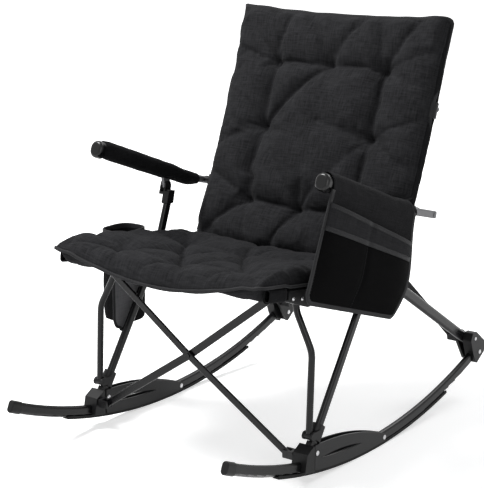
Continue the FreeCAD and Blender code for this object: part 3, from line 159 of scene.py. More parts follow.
def wovenCloth(name, dark, light, coordinates, pitch=0.0016):
    # heathered plain weave: slubs along both threads, a fine thread bump, and soft creases
    paint = Paint(name)
    flat = paint.place(coordinates)

    def crossed(short, long, detail, rough):
        return paint.noise(paint.place(coordinates, (short, long, short)), 1.0, detail, rough) + \
            paint.noise(paint.place(coordinates, (long, short, long)), 1.0, detail, rough)

    threads = crossed(*weave["fine"], 2.0, 0.5) * 0.25
    slubs = crossed(*weave["slub"], 3.0, 0.6) * 0.45
    patches = paint.noise(flat, weave["patch"], 3.0) * 0.2
    fibres = paint.band(threads + slubs + patches - 0.1, 0.42, 0.88)
    x, y, z = paint.split(flat)
    if coordinates == "UV":
        knots = x.wave(pitch) * y.wave(pitch)
    else:
        knots = (x + y).wave(pitch) * (z + y * 0.3).wave(pitch)
    creases = paint.bump(paint.noise(flat, weave["crease"], 3.0, 0.6), weave["creaseDepth"])
    return paint.finish(Base_Color=paint.blend(fibres, dark, light),
                        Roughness=paint.band(fibres, -1.6, 0.6) * 0.25 + 0.68,
                        Normal=paint.bump(knots, weave["threadDepth"], 0.7, creases),
                        Sheen_Weight=weave["sheen"], Sheen_Roughness=0.45, Specular_IOR_Level=weave["shine"])


def ribbedTape(name, dark, light, pitch=0.0012):
    paint = Paint(name)
    flat = paint.place()
    x, y, z = paint.split(flat)
    ribs = (x + y + z).wave(pitch) * 0.5 + 0.5
    worn = paint.noise(flat, 60.0, 3.0)
    return paint.finish(Base_Color=paint.blend(worn * 0.7 + ribs * 0.2, dark, light),
                        Roughness=worn * 0.15 + 0.62, Normal=paint.bump(ribs, 0.00012, 0.6),
                        Sheen_Weight=0.04, Specular_IOR_Level=0.12)


def netCloth(name, holeShade, thread, pitch=0.0024):
    # small round holes between knitted threads, not cut open: the holes are painted near-black, a painted
    # shade of the pocket behind them
    paint = Paint(name)
    flat = paint.place("UV")
    x, y, z = paint.split(flat)
    cells = x.wave(pitch) * y.wave(pitch) * 0.5 + 0.5
    worn = paint.noise(flat, 45.0, 3.0)
    solid = paint.band(cells, 0.3, 0.62)
    # the knit pattern is the net's own; the near-black of its holes is painted shade
    return paint.finish(Base_Color=paint.blend(solid * (worn * 0.5 + 0.6), holeShade, thread),
                        Roughness=0.8 - solid * 0.15, Normal=paint.bump(cells, 0.0003, 0.8),
                        Specular_IOR_Level=0.01)


def paintedMetal(name, dark, light, rough, metal=0.0, coat=0.04):
    # satin powder coat: fine orange peel, faint cloudiness and rubbed patches
    paint = Paint(name)
    flat = paint.place()
    cloud = paint.noise(flat, 9.0, 4.0)
    peel = paint.noise(flat, 900.0, 2.0)
    rubbed = paint.band(paint.noise(paint.place("Object", (40, 40, 160)), 1.0, 5.0, 0.65), 0.6, 0.78)
    return paint.finish(Base_Color=paint.blend(cloud * 0.8 + rubbed * 0.2, dark, light), Metallic=metal,
                        Roughness=cloud * 0.1 + rubbed * 0.08 + (rough - 0.05),
                        Normal=paint.bump(peel, 0.00005), Coat_Weight=coat, Coat_Roughness=0.22,
                        Specular_IOR_Level=0.2)


def mouldedPlastic(name, dark, light, rough=0.45, grain=0.00008, scale=700.0, coat=0.0):
    # grained moulding with scuffed patches
    paint = Paint(name)
    flat = paint.place()
    spark = paint.noise(flat, scale, 3.0, 0.6)
    scuff = paint.band(paint.noise(flat, 34.0, 5.0, 0.7), 0.55, 0.8)
    return paint.finish(Base_Color=paint.blend(scuff * 0.6 + spark * 0.3, dark, light),
                        Roughness=scuff * 0.12 + rough, Normal=paint.bump(spark, grain),
                        Coat_Weight=coat, Coat_Roughness=0.12, Specular_IOR_Level=0.2)


def brightSteel(name, dark, light):
    paint = Paint(name)
    flat = paint.place()
    brushed = paint.noise(flat, 1400.0, 3.0)
    return paint.finish(Base_Color=paint.blend(paint.noise(flat, 130.0, 4.0), dark, light), Metallic=1.0,
                        Roughness=brushed * 0.12 + 0.24, Normal=paint.bump(brushed, 0.00003))


def sewnThread(name, dark, light):
    paint = Paint(name)
    twist = paint.noise(paint.place("Object", (300, 300, 1500)), 1.0, 2.0)
    return paint.finish(Base_Color=paint.blend(twist, dark, light), Roughness=0.62 + twist * 0.1,
                        Normal=paint.bump(twist, 0.0001), Specular_IOR_Level=0.15)


def grey(value, blue):
    return (value, value, blue)


cloths = dict(
    pad=wovenCloth("charcoal_canvas", grey(0.0028, 0.0030), grey(0.0305, 0.0326), "UV"),
    sleeve=wovenCloth("charcoal_sleeve", grey(0.0048, 0.0052), grey(0.0165, 0.0176), "Object"),
    arm=wovenCloth("black_arm_cloth", grey(0.0038, 0.0040), grey(0.0135, 0.0145), "Object", pitch=0.0012),
    organizer=wovenCloth("organizer_canvas", grey(0.0058, 0.0063), grey(0.0200, 0.0214), "UV", pitch=0.0013),
    band=wovenCloth("pocket_band_canvas", grey(0.0085, 0.0092), grey(0.0290, 0.0310), "UV", pitch=0.0013),
    cup=wovenCloth("grey_cup_canvas", grey(0.105, 0.110), grey(0.175, 0.182), "Object", pitch=0.0014),
    pouch=wovenCloth("black_pouch_canvas", grey(0.0030, 0.0032), grey(0.0095, 0.0100), "Object",
                     pitch=0.0014),
    net=netCloth("black_net", grey(0.0012, 0.0012), grey(0.0052, 0.0055)),
    tape=ribbedTape("binding_tape", grey(0.0075, 0.0080), grey(0.0290, 0.0310)),
    thread=sewnThread("dark_thread", grey(0.014, 0.015), grey(0.036, 0.038)),
)
finishes = dict(
    tube=paintedMetal("satin_tube", grey(0.0035, 0.0039), grey(0.0085, 0.0092), rough=0.24),
    plate=paintedMetal("satin_plate", grey(0.0035, 0.0038), grey(0.0085, 0.0092), rough=0.36),
    bar=paintedMetal("grey_arm_bar", grey(0.105, 0.110), grey(0.165, 0.172), rough=0.36, metal=0.35),
    link=paintedMetal("black_link", grey(0.0085, 0.0090), grey(0.0190, 0.0200), rough=0.36, coat=0.1),
    plastic=mouldedPlastic("black_moulding", grey(0.0042, 0.0045), grey(0.0105, 0.0112)),
    gloss=mouldedPlastic("glossy_cap", grey(0.0030, 0.0032), grey(0.0070, 0.0074), rough=0.28,
                         grain=0.00001, coat=0.15),
    rubber=mouldedPlastic("tread_rubber", grey(0.0060, 0.0060), grey(0.0150, 0.0150), rough=0.72,
                          grain=0.0002, scale=420.0),
    rivet=brightSteel("steel_rivet", grey(0.45, 0.46), grey(0.68, 0.69)),
)
nodeFinish = dict(
    tube=["rocker", "arm_post", "front_leg", "seat_rail", "back_tube", "front_brace_a", "front_brace_b",
          "rear_brace_a", "rear_brace_b"],
    plate=["foot_wing_outer", "foot_wing_inner"],
    bar=["arm_bar"],
    link=["front_link", "rear_link"],
    plastic=["front_foot", "arm_fork", "rear_bracket", "post_slider", "seat_hub", "back_pivot_bracket",
             "back_hub", "arm_slide", "rocker_cap"],
    gloss=["arm_cap"],
    rubber=["rocker_strip"],
    rivet=["frame_rivets"],
)
for finish, names in nodeFinish.items():
    for name in names:
        for label in (name, name + "_right", name + "_left"):
            if label in nodes:
                shown = nodes[label]
                shown.data.materials.clear()
                shown.data.materials.append(finishes[finish])
print("materials made")


# mesh helpers
def addObject(name, data, material=None):
    made = bpy.data.objects.new(name, data)
    bpy.context.scene.collection.objects.link(made)
    if material:
        data.materials.clear()
        data.materials.append(material)
    return made


def shadeSmooth(mesh):
    mesh.polygons.foreach_set("use_smooth", [True] * len(mesh.polygons))


def meshPiece(name, points, faces, material, flat=None):
    # flat gives each point's place on the cloth before it was sewn
    mesh = bpy.data.meshes.new(name)
    mesh.from_pydata([tuple(p) for p in points], [], faces)
    if flat:
        layer = mesh.uv_layers.new(name="cloth")
        for loop in mesh.loops:
            layer.data[loop.index].uv = flat[loop.vertex_index]
    shadeSmooth(mesh)
    mesh.update()
    return addObject(name, mesh, material)


def gridFaces(rows, columns, closed=False, first=0):
    faces = []
    for r in range(rows - 1):
        low, high = first + r * columns, first + (r + 1) * columns
        for c in range(columns if closed else columns - 1):
            d = (c + 1) % columns
            faces.append((low + c, low + d, high + d, high + c))
    return faces


def plainMesh(piece):
    view = bpy.context.evaluated_depsgraph_get()
    return bpy.data.meshes.new_from_object(piece.evaluated_get(view), depsgraph=view)


def settled(piece):
    # apply what modifies the piece, so that a plain mesh is left
    mesh = plainMesh(piece)
    piece.modifiers.clear()
    piece.data = mesh
    return piece


def thickened(piece, wall, offset=-1.0):
    setUp(piece.modifiers.new("wall", "SOLIDIFY"), thickness=wall, offset=offset, use_even_offset=False)
    return settled(piece)


def facingOut(piece, merged=True):
    work = bmesh.new()
    work.from_mesh(piece.data)
    if merged:
        bmesh.ops.remove_doubles(work, verts=work.verts, dist=1e-6)
    bmesh.ops.recalc_face_normals(work, faces=work.faces)
    work.to_mesh(piece.data)
    work.free()
    piece.data.update()
    return piece


def along(stations, share):
    # smooth value between stations (share, value)
    if share <= stations[0][0]:
        return stations[0][1]
    for (a, low), (b, high) in zip(stations, stations[1:]):
        if share <= b:
            t = (share - a) / (b - a)
            return low + (high - low) * t * t * (3 - 2 * t)
    return stations[-1][1]


def ramp(value, start, reach):
    # smooth step from 0 at start to 1 at start + reach
    value = max(0.0, min(1.0, (value - start) / reach))
    return value * value * (3 - 2 * value)


def rounded(distance, reach):
    # quarter circle: 0 at the edge, 1 from reach inwards
    inner = max(0.0, 1 - distance / reach)
    return math.sqrt(max(0.0, 1 - inner * inner))


def sloped(ends, share):
    return ends[0] + (ends[1] - ends[0]) * share


def shares(count):
    # evenly from 0 to 1
    return [i / (count - 1) for i in range(count)]


def outwardFrom(middle, path):
    return [(p - middle).normalized() for p in path]


def clothGrid(name, levels, columns, spot, finish, wall):
    # a sheet through spot(u, level), which gives a point and its place on the flat cloth
    points, flat = [], []
    for level in levels:
        for u in shares(columns):
            point, mark = spot(u, level)
            points.append(point)
            flat.append(mark)
    sheet = meshPiece(name, points, gridFaces(len(levels), columns), cloths[finish], flat)
    area = sum(p.area for p in sheet.data.polygons)
    thickened(facingOut(sheet), wall, 0.0)
    return sheet, area, points


def bandFrames(path, outward, closed):
    # outward and upward directions at each point of a path
    frames, count = [], len(path)
    for i, place in enumerate(path):
        before = path[i - 1] if i or closed else place
        after = path[(i + 1) % count] if i < count - 1 or closed else place
        way = (after - before).normalized()
        out = (outward[i] - way * outward[i].dot(way)).normalized()
        frames.append((out, way.cross(out)))
    return frames


def sweptBand(name, path, outward, section, closed=False):
    # tape of a section (out, up) carried along a path whose outward direction is known at each point
    points, flat, run = [], [], 0.0
    count, width = len(path), len(section)
    for i, (out, up) in enumerate(bandFrames(path, outward, closed)):
        run += (path[i] - path[i - 1]).length if i else 0.0
        for j, (a, b) in enumerate(section):
            points.append(path[i] + out * a + up * b)
            flat.append((run, j * 0.003))
    faces = gridFaces(count, width, True)
    last = (count - 1) * width
    if closed:
        faces += [(last + c, last + (c + 1) % width, (c + 1) % width, c) for c in range(width)]
    else:
        faces += [tuple(range(width))[::-1], tuple(last + c for c in range(width))]
    return facingOut(meshPiece(name, points, faces, cloths["tape"], flat))


def tapeSection(wide, thick, corner=0.35):
    # flat tape folded over an edge
    points = []
    for a, b in ((-1, -1), (1, -1), (1, 1), (-1, 1)):
        for k in range(3):
            turn = math.atan2(b, a) + (k - 1) * math.pi / 4
            points.append((a * wide / 2 * (1 - corner) + math.cos(turn) * wide / 2 * corner,
                           b * thick / 2 * (1 - corner) + math.sin(turn) * thick / 2 * corner))
    return points


def carried(piece, body, node=None):
    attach(piece, body)
    if node:
        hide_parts(node)


# Geometry Nodes: trees for stitches and rivets
class Graph(Wiring):
    def __init__(self, name, inputs):
        super().__init__(bpy.data.node_groups.new(name, "GeometryNodeTree"))
        face = self.tree.interface
        face.new_socket("Geometry", in_out="INPUT", socket_type="NodeSocketGeometry")
        self.keys = {}
        for label, kind in inputs.items():
            made = face.new_socket(label, in_out="INPUT", socket_type="NodeSocket" + kind)
            self.keys[label] = made.identifier
        face.new_socket("Geometry", in_out="OUTPUT", socket_type="NodeSocketGeometry")
        self.start = self.node("NodeGroupInput")

    def given(self, label):
        return self.start.also(label)

    def close(self, geometry):
        real = self.node("GeometryNodeRealizeInstances", None, {0: geometry})
        painted = self.node("GeometryNodeSetMaterial", None,
                            {0: real, "Material": self.given("Finish")})
        self.node("NodeGroupOutput", None, {0: painted})
        return self


def stitchGraph():
    graph = Graph("stitch_row", {"Spacing": "Float", "Size": "Vector", "Finish": "Material"})
    line = graph.node("GeometryNodeMeshToCurve", None, {0: graph.given("Geometry")})
    spaced = graph.node("GeometryNodeResampleCurve", {"mode": "LENGTH"},
                        {"Curve": line, "Length": graph.given("Spacing")})
    bead = graph.node("GeometryNodeMeshUVSphere", None, {"Segments": 6, "Rings": 4, "Radius": 1.0})
    tangent = graph.node("GeometryNodeInputTangent")
    turn = graph.node("FunctionNodeAlignRotationToVector", {"axis": "X"}, {"Vector": tangent})
    row = graph.node("GeometryNodeInstanceOnPoints", None,
                     {"Points": spaced, "Instance": bead, "Rotation": turn, "Scale": graph.given("Size")})
    return graph.close(row)


def rivetGraph():
    graph = Graph("rivet_heads", {"Radius": "Float", "Finish": "Material"})
    ball = graph.node("GeometryNodeMeshUVSphere", None, {"Segments": 18, "Rings": 10, "Radius": 1.0})
    dome = graph.node("GeometryNodeTransform", None, {0: ball, "Scale": (0.78, 0.78, 0.42)})
    rim = graph.node("GeometryNodeMeshCylinder", None, {"Vertices": 18, "Radius": 1.0, "Depth": 0.22})
    head = graph.node("GeometryNodeJoinGeometry", None, {0: [dome, rim]})
    aim = graph.node("GeometryNodeInputNamedAttribute", {"data_type": "FLOAT_VECTOR"}, {"Name": "aim"})
    turn = graph.node("FunctionNodeAlignRotationToVector", {"axis": "Z"}, {"Vector": aim})
    heads = graph.node("GeometryNodeInstanceOnPoints", None,
                       {"Points": graph.given("Geometry"), "Instance": head, "Rotation": turn,
                        "Scale": graph.given("Radius")})
    return graph.close(heads)


def grown(name, source, graph, values):
    # run a tree on a source object and keep the result as a plain mesh
    grower = source.modifiers.new("grow", "NODES")
    grower.node_group = graph.tree
    for label, value in values.items():
        grower[graph.keys[label]] = value
    mesh = plainMesh(source)
    made = addObject(name, mesh)
    shadeSmooth(mesh)
    old = source.data
    bpy.data.objects.remove(source)
    bpy.data.meshes.remove(old)
    return made


stitchRow = stitchGraph()
rivetRow = rivetGraph()
stitch = dict(spacing=0.0062, size=(0.0021, 0.00055, 0.00055))


def stitched(name, lines, closed=False):
    mesh = bpy.data.meshes.new(name + "_line")
    points, edges = [], []
    for line in lines:
        first = len(points)
        points += [tuple(p) for p in line]
        edges += [(first + i, first + i + 1) for i in range(len(line) - 1)]
        if closed:
            edges.append((len(points) - 1, first))
    mesh.from_pydata(points, edges, [])
    return grown(name, addObject(name + "_line", mesh), stitchRow,
                 {"Spacing": stitch["spacing"], "Size": stitch["size"], "Finish": cloths["thread"]})


# lines of the seat rails and back tubes, as the frame has them, in metres
chair = dict(railX=0.2825, railFront=(-0.355, 0.43947), railSlope=-0.15306, railLift=0.01515,
             backX=0.283, backPin=(0.125, 0.391), backTop=(0.342, 0.938), backBow=0.012, backLift=0.0115)


def railZ(y):
    return chair["railFront"][1] + chair["railSlope"] * (y - chair["railFront"][0])


def backAt(share):
    # place and upward direction on the back tube's arc, as (y, z)
    (y0, z0), (y1, z1) = chair["backPin"], chair["backTop"]
    chord = math.hypot(y1 - y0, z1 - z0)
    bow = chair["backBow"]
    radius = (chord * chord / 4 + bow * bow) / (2 * bow)
    half = math.asin(chord / 2 / radius)
    turn = (2 * share - 1) * half
    rise = radius * math.sin(turn)
    deep = radius * (math.cos(turn) - math.cos(half))
    ly, lz = (y1 - y0) / chord, (z1 - z0) / chord
    place = Vector((0, (y0 + y1) / 2 + ly * rise + lz * deep, (z0 + z1) / 2 + lz * rise - ly * deep))
    way = Vector((0, ly * math.cos(turn) - lz * math.sin(turn), lz * math.cos(turn) + ly * math.sin(turn)))
    return place, way, chord


def seatPlace(pad, x, share, height):
    y = pad["front"] + share * (pad["rear"] - pad["front"])
    return Vector((x, y, railZ(y) + chair["railLift"] + height))


def backPlace(pad, x, share, height):
    # the top edge hangs a little between the tubes, and waves
    (sagFrom, sagReach), (waveFrom, waveReach) = pad["sagTop"], pad["waveTop"]
    hang = pad["topSag"] * max(0.0, (share - sagFrom) / sagReach) ** 1.5
    hang *= 1 - min(abs(x) / pad["sagHalf"], 1.0) ** 2.4
    hang += pad["topWave"] * noise.noise((x * 21, 3.0, 0.0)) * max(0.0, (share - waveFrom) / waveReach)
    place, way, chord = backAt(sloped((pad["start"], pad["end"]), share) - hang / pad["length"])
    return place + across * x + across.cross(way) * (chair["backLift"] + height)


# tufted pads: lengths in metres, and stations as (share of the length, value)
seatPad = dict(
    name="seat_cushion", place=seatPlace, front=-0.379, rear=0.108, length=0.492, half=0.290, flat=0.240,
    sag=[(0, 0.047), (0.05, 0.049), (0.22, 0.050), (0.5, 0.050), (0.82, 0.040), (1, 0.030)],
    thick=[(0, 0.041), (0.05, 0.049), (0.22, 0.056), (0.5, 0.058), (0.82, 0.053), (1, 0.040)],
    edge=[(0, 0.016), (0.05, 0.020), (0.22, 0.030), (0.5, 0.030), (0.82, 0.024), (1, 0.018)],
    drawn=[(0, 0.004), (0.03, 0.0), (0.12, 0.0), (0.22, 0.004), (0.5, 0.006), (0.82, 0.005), (1, 0.008)],
    seam=[(0, 0.12), (0.14, 0.42), (1, 0.42)], frontRound=0.030, rearRound=0.022, crown=0.008, rows=88,
    columns=104, sideSeam=0.12, sideAcross=(0.235, 0.04), cornerDrop=0.0325, cornerSeam=0.62,
    cornerAcross=(0.150, 0.105), cornerAlong=(0.086, -0.022), cornerInside=(0.262, 0.011), hubSink=0.0050,
    hubAcross=(0.245, 0.02), hubFrom=(0.084, 0.006), hubTo=(0.188, -0.006),
    tufts=[(-0.170, 0.094), (0.005, 0.090), (0.172, 0.094), (-0.085, 0.206), (0.088, 0.206),
           (-0.170, 0.319), (0.0, 0.319), (0.170, 0.319)], tuftDepth=0.026, tuftWidth=0.025,
    creaseDepth=0.0180, creaseWidth=0.018, valley=0.0036, weak={},
    creases=[(0, 3, 0.9), (1, 3, 0.9), (1, 4, 0.9), (2, 4, 0.9), (3, 5, 0.8), (3, 6, 0.8), (4, 6, 0.8),
             (4, 7, 0.8), (0, 1, 0.55), (1, 2, 0.55), (3, 4, 0.35), (5, 6, 0.5), (6, 7, 0.5)],
    strays=[(0, -0.268, 0.018, 0.6), (0, -0.284, 0.120, 0.4), (0, -0.120, 0.010, 0.3),
            (1, -0.045, 0.012, 0.35), (1, 0.070, 0.010, 0.4), (2, 0.262, 0.016, 0.6),
            (2, 0.282, 0.110, 0.35), (2, 0.140, 0.012, 0.3), (3, -0.284, 0.205, 0.22),
            (4, 0.284, 0.215, 0.22), (5, -0.282, 0.300, 0.35), (5, -0.250, 0.440, 0.4),
            (6, -0.060, 0.460, 0.35), (6, 0.060, 0.460, 0.35), (7, 0.282, 0.330, 0.35),
            (7, 0.250, 0.440, 0.4)])
backPad = dict(
    name="back_cushion", place=backPlace, start=-0.012, end=1.0075, length=0.600, half=0.278, flat=0.235,
    sag=[(0, 0.012), (0.05, 0.017), (0.28, 0.024), (0.55, 0.024), (0.8, 0.0215), (0.96, 0.0145), (1, 0.010)],
    thick=[(0, 0.036), (0.05, 0.046), (0.28, 0.058), (0.55, 0.058), (0.8, 0.053), (0.96, 0.038), (1, 0.028)],
    edge=[(0, 0.018), (1, 0.018)],
    drawn=[(0, 0.018), (0.045, 0.010), (0.09, 0.002), (0.28, 0.004), (0.55, 0.005), (0.8, 0.004),
           (0.93, 0.001), (1, -0.001)], wrap=[(0.275, 0.0), (0.300, 1.0), (1, 1.0)], wrapWide=0.0155,
    wrapReach=0.034,
    rimDrop=[(0.275, 0.004), (0.300, -0.0115), (0.560, -0.0115), (0.617, -0.002), (0.683, -0.002),
             (0.740, -0.0115), (1, -0.0115)],
    clear=[(0.600, 0.0123), (0.617, 0.0158), (0.683, 0.0158), (0.700, 0.0123)],
    seam=[(0, 0.42), (0.9, 0.42), (1, 0.5)], frontRound=0.026, rearRound=0.022, crown=0.009, rows=108,
    columns=100, topSag=0.011, sagTop=(0.86, 0.14), sagHalf=0.285, topWave=0.0022, waveTop=(0.9, 0.1),
    tufts=[(-0.147, 0.462), (0.004, 0.466), (0.150, 0.462), (-0.145, 0.300), (0.012, 0.325), (0.148, 0.300),
           (-0.146, 0.116), (0.006, 0.108), (0.147, 0.114)], tuftDepth=0.032, tuftWidth=0.027,
    creaseDepth=0.0250, creaseWidth=0.021, valley=0.0040, weak={4: 0.4},
    creases=[(0, 3, 1.0), (3, 6, 1.0), (2, 5, 1.0), (5, 8, 1.0), (0, 1, 0.8), (1, 2, 0.65), (6, 7, 0.85),
             (7, 8, 0.8), (3, 1, 0.8), (5, 4, 0.35), (4, 7, 0.15), (3, 7, 0.55), (5, 7, 0.3), (1, 5, 0.2)],
    strays=[(0, -0.255, 0.585, 0.65), (0, -0.120, 0.592, 0.35), (0, -0.268, 0.500, 0.15),
            (1, -0.060, 0.588, 0.4), (1, 0.075, 0.588, 0.45), (2, 0.215, 0.588, 0.5),
            (2, 0.266, 0.520, 0.3), (2, 0.120, 0.592, 0.25), (3, -0.268, 0.440, 0.45),
            (3, -0.266, 0.235, 0.12), (5, 0.266, 0.360, 0.2), (5, 0.264, 0.235, 0.12),
            (6, -0.252, 0.020, 0.6), (6, -0.266, 0.175, 0.3), (6, -0.120, 0.012, 0.35),
            (7, -0.045, 0.010, 0.4), (7, 0.060, 0.010, 0.35), (8, 0.250, 0.020, 0.6),
            (8, 0.264, 0.165, 0.3), (8, 0.120, 0.012, 0.3)])


# how the covers are puffed and sewn, the same on both pads
sewing = dict(pressure=3.0, spare=-0.030, cap=0.009, frames=20, under=0.3, wander=0.004,
              rowEnds=[0.0, 0.003, 0.010, 0.022], rowFirst=0.036, edgeColumns=[0.013, 0.008, 0.003, 0.0],
              edgeInner=0.018, heldEdge=0.010, heldRows=3, heldTuft=0.008, heldBelow=0.85,
              underside=0.8, upperRun=0.7, plainRim=0.004, valleyReach=0.02, valleyWidth=0.0055,
              gatherReach=0.09, gatherDepth=0.0011, gatherFade=0.026, gatherStart=0.010, button=0.004,
              buttonWidth=0.0055, crumple=(0.0009, 0.0005), tape=(0.0095, 0.0062), stitchUp=0.0031,
              stitchIn=0.0022)


def lineAway(line, x, run):
    # how far along a crease a place is, and its distance from it
    ax, ay, bx, by, weight = line
    dx, dy = bx - ax, by - ay
    t = max(0.0, min(1.0, ((x - ax) * dx + (run - ay) * dy) / (dx * dx + dy * dy)))
    wander = sewing["wander"] * noise.noise((ax * 9 + t * 2.3, ay * 9, 0.7)) * math.sin(math.pi * t)
    return t, math.hypot(x - ax - t * dx + wander, run - ay - t * dy - wander)


def pressedIn(pad, x, run):
    # how deep tufts and creases pull the cover in at a place
    total = 0.0
    for k, (tx, ty) in enumerate(pad["tufts"]):
        near = math.hypot(x - tx, run - ty) / pad["tuftWidth"]
        if near < 4:
            total += (pad["weak"].get(k, 1.0) * pad["tuftDepth"] * math.exp(-near ** 1.25)) ** 3
    for line in pad["lines"]:
        away = lineAway(line, x, run)[1] / pad["creaseWidth"]
        if away < 4:
            total += (line[4] * pad["creaseDepth"] * math.exp(-away ** 1.35)) ** 3
    return total ** (1 / 3)


def hungCorners(pad, x, run, low, seam):
    # the front edge hangs down inside the ends of the rails, and the sides lie on the bare rail at the hubs
    out = abs(x)
    seam += (pad["sideSeam"] - seam) * ramp(out, *pad["sideAcross"])
    drop = pad["cornerDrop"] * ramp(out, *pad["cornerAcross"]) * ramp(run, *pad["cornerAlong"])
    drop *= 1 - ramp(out, *pad["cornerInside"])
    sink = pad["hubSink"] * ramp(out, *pad["hubAcross"])
    sink *= ramp(run, *pad["hubFrom"]) * ramp(run, *pad["hubTo"])
    seam += (pad["cornerSeam"] - seam) * min(drop / pad["cornerDrop"], 1.0)
    return low - (drop + sink), seam


def roundTube(pad, tube, far, wide, top, bottom, upper):
    # height of a cover that goes round the tube, with its seam on the tube's outer side
    rim = along(pad["rimDrop"], tube)
    bend = max(0.0, (far - (wide - pad["wrapReach"])) / pad["wrapReach"])
    skin = rim + (top - rim) * math.sqrt(max(0.0, 1 - bend * bend))
    if upper:
        return skin
    if bend >= 1:
        return rim
    clear = along(pad["clear"], tube)
    room = math.sqrt(max(0.0, clear ** 2 - (far - chair["backX"]) ** 2)) - chair["backLift"]
    return min(max(room, bottom if far < chair["backX"] else rim), skin)


def padPoint(pad, x, share, upper):
    half = pad["half"] - along(pad["drawn"], share)
    ratio = x / pad["half"]
    x = ratio * half
    edge, sag, thick, seam = (along(pad[key], share) for key in ("edge", "sag", "thick", "seam"))
    nip = edge / 2
    low = -sag * (1 - min(abs(x) / pad["flat"], 1.0) ** 2)
    high = edge + (thick - sag - edge) * (1 - min(abs(x) / (half - nip), 1.0) ** 2)
    run = share * pad["length"]
    ends = rounded(run, pad["frontRound"]) * rounded(pad["length"] - run, pad["rearRound"])
    puff = rounded(half - abs(x), nip * 1.5) * ends
    pull = pressedIn(pad, x, run)
    if upper:
        high += pad["crown"] - pull
    else:
        low += pull * sewing["under"]
    if "cornerDrop" in pad:
        low, seam = hungCorners(pad, x, run, low, seam)
    mid = low + (high - low) * seam
    height = mid + ((high if upper else low) - mid) * max(puff, 0.05)
    if "wrap" in pad:
        tube = sloped((pad["start"], pad["end"]), share)
        wrap = along(pad["wrap"], tube)
        wide = half + pad["wrapWide"]
        far = abs(ratio) * wide
        top, bottom = mid + (high - mid) * ends, mid + (low - mid) * ends
        bent = roundTube(pad, tube, far, wide, top, bottom, upper)
        x += (math.copysign(far, ratio) - x) * wrap
        height += (bent - height) * wrap
    return pad["place"](pad, x, share, height)


def padMesh(pad):
    tufts = pad["tufts"]
    pad["lines"] = [(*tufts[a], *tufts[b], weight) for a, b, weight in pad["creases"]]
    pad["lines"] += [(*tufts[a], x, y, weight) for a, x, y, weight in pad["strays"]]
    rows, columns = pad["rows"], pad["columns"]
    ends, first = sewing["rowEnds"], sewing["rowFirst"]
    inside = rows - 2 * len(ends)
    levels = ends + [first + (1 - 2 * first) * i / (inside - 1) for i in range(inside)]
    levels += [1 - share for share in ends[::-1]]
    inner = pad["half"] - sewing["edgeInner"]
    rim = [pad["half"] - inset for inset in sewing["edgeColumns"]]
    inside = columns - 2 * len(rim)
    spread = [-inner + 2 * inner * i / (inside - 1) for i in range(inside)]
    spread = [-x for x in rim[::-1]] + spread + rim
    points, flat = [], []
    for share in levels:
        for upper in (True, False):
            for x in (spread if upper else spread[-2:0:-1]):
                points.append(padPoint(pad, x, share, upper))
                flat.append((x, share * pad["length"] + (0.0 if upper else sewing["underside"])))
    width = 2 * columns - 2
    faces = gridFaces(rows, width, True)
    for row, turn in ((0, 1), (rows - 1, -1)):
        start = row * width
        for c in range(columns - 1):
            ring = [start + c, start + c + 1, start + width - c - 1, start + (width - c) % width]
            ring = [p for i, p in enumerate(ring) if p not in ring[:i]]
            faces.append(tuple(ring[::turn]))
    pad.update(width=width, spread=spread, levels=levels)
    return facingOut(meshPiece(pad["name"], points, faces, cloths["pad"], flat), False)


def puffed(piece, pad):
    # blow the cover up between its tufts and seams, and cap how far it goes
    rows, columns, width = pad["rows"], pad["columns"], pad["width"]
    start = [v.co.copy() for v in piece.data.vertices]
    held = piece.vertex_groups.new(name="held")
    firm = [tuft for k, tuft in enumerate(pad["tufts"]) if k not in pad["weak"]]
    for r, share in enumerate(pad["levels"]):
        run = share * pad["length"]
        for c in range(width):
            x = pad["spread"][c] if c < columns else pad["spread"][width - c]
            atEnd = min(r, rows - 1 - r) < sewing["heldRows"]
            edge = atEnd or abs(x) > pad["half"] - sewing["heldEdge"]
            near = min(math.hypot(x - tx, run - ty) for tx, ty in firm)
            weight = sewing["heldBelow"] if c >= columns else 0.0
            if edge or near < sewing["heldTuft"]:
                weight = 1.0
            if weight:
                held.add([r * width + c], weight, "REPLACE")
    cloth = piece.modifiers.new("puff", "CLOTH")
    setUp(cloth.settings, quality=4, mass=0.3, tension_stiffness=12, compression_stiffness=12,
          shear_stiffness=4, bending_stiffness=0.35, vertex_group_mass="held", use_pressure=True,
          uniform_pressure_force=sewing["pressure"], shrink_min=sewing["spare"])
    cloth.settings.effector_weights.gravity = 0
    cloth.collision_settings.use_collision = False
    setUp(cloth.point_cache, frame_start=1, frame_end=sewing["frames"])
    scene = bpy.context.scene
    for moment in range(1, sewing["frames"] + 1):
        scene.frame_set(moment)
    blown = piece.evaluated_get(bpy.context.evaluated_depsgraph_get())
    ends = [v.co.copy() for v in blown.to_mesh().vertices]
    blown.to_mesh_clear()
    piece.modifiers.clear()
    scene.frame_set(1)
    piece.vertex_groups.clear()
    for vertex, a, b in zip(piece.data.vertices, start, ends):
        shift = b - a
        if shift.length > sewing["cap"]:
            shift *= sewing["cap"] / shift.length
        vertex.co = a + shift
    piece.data.update()


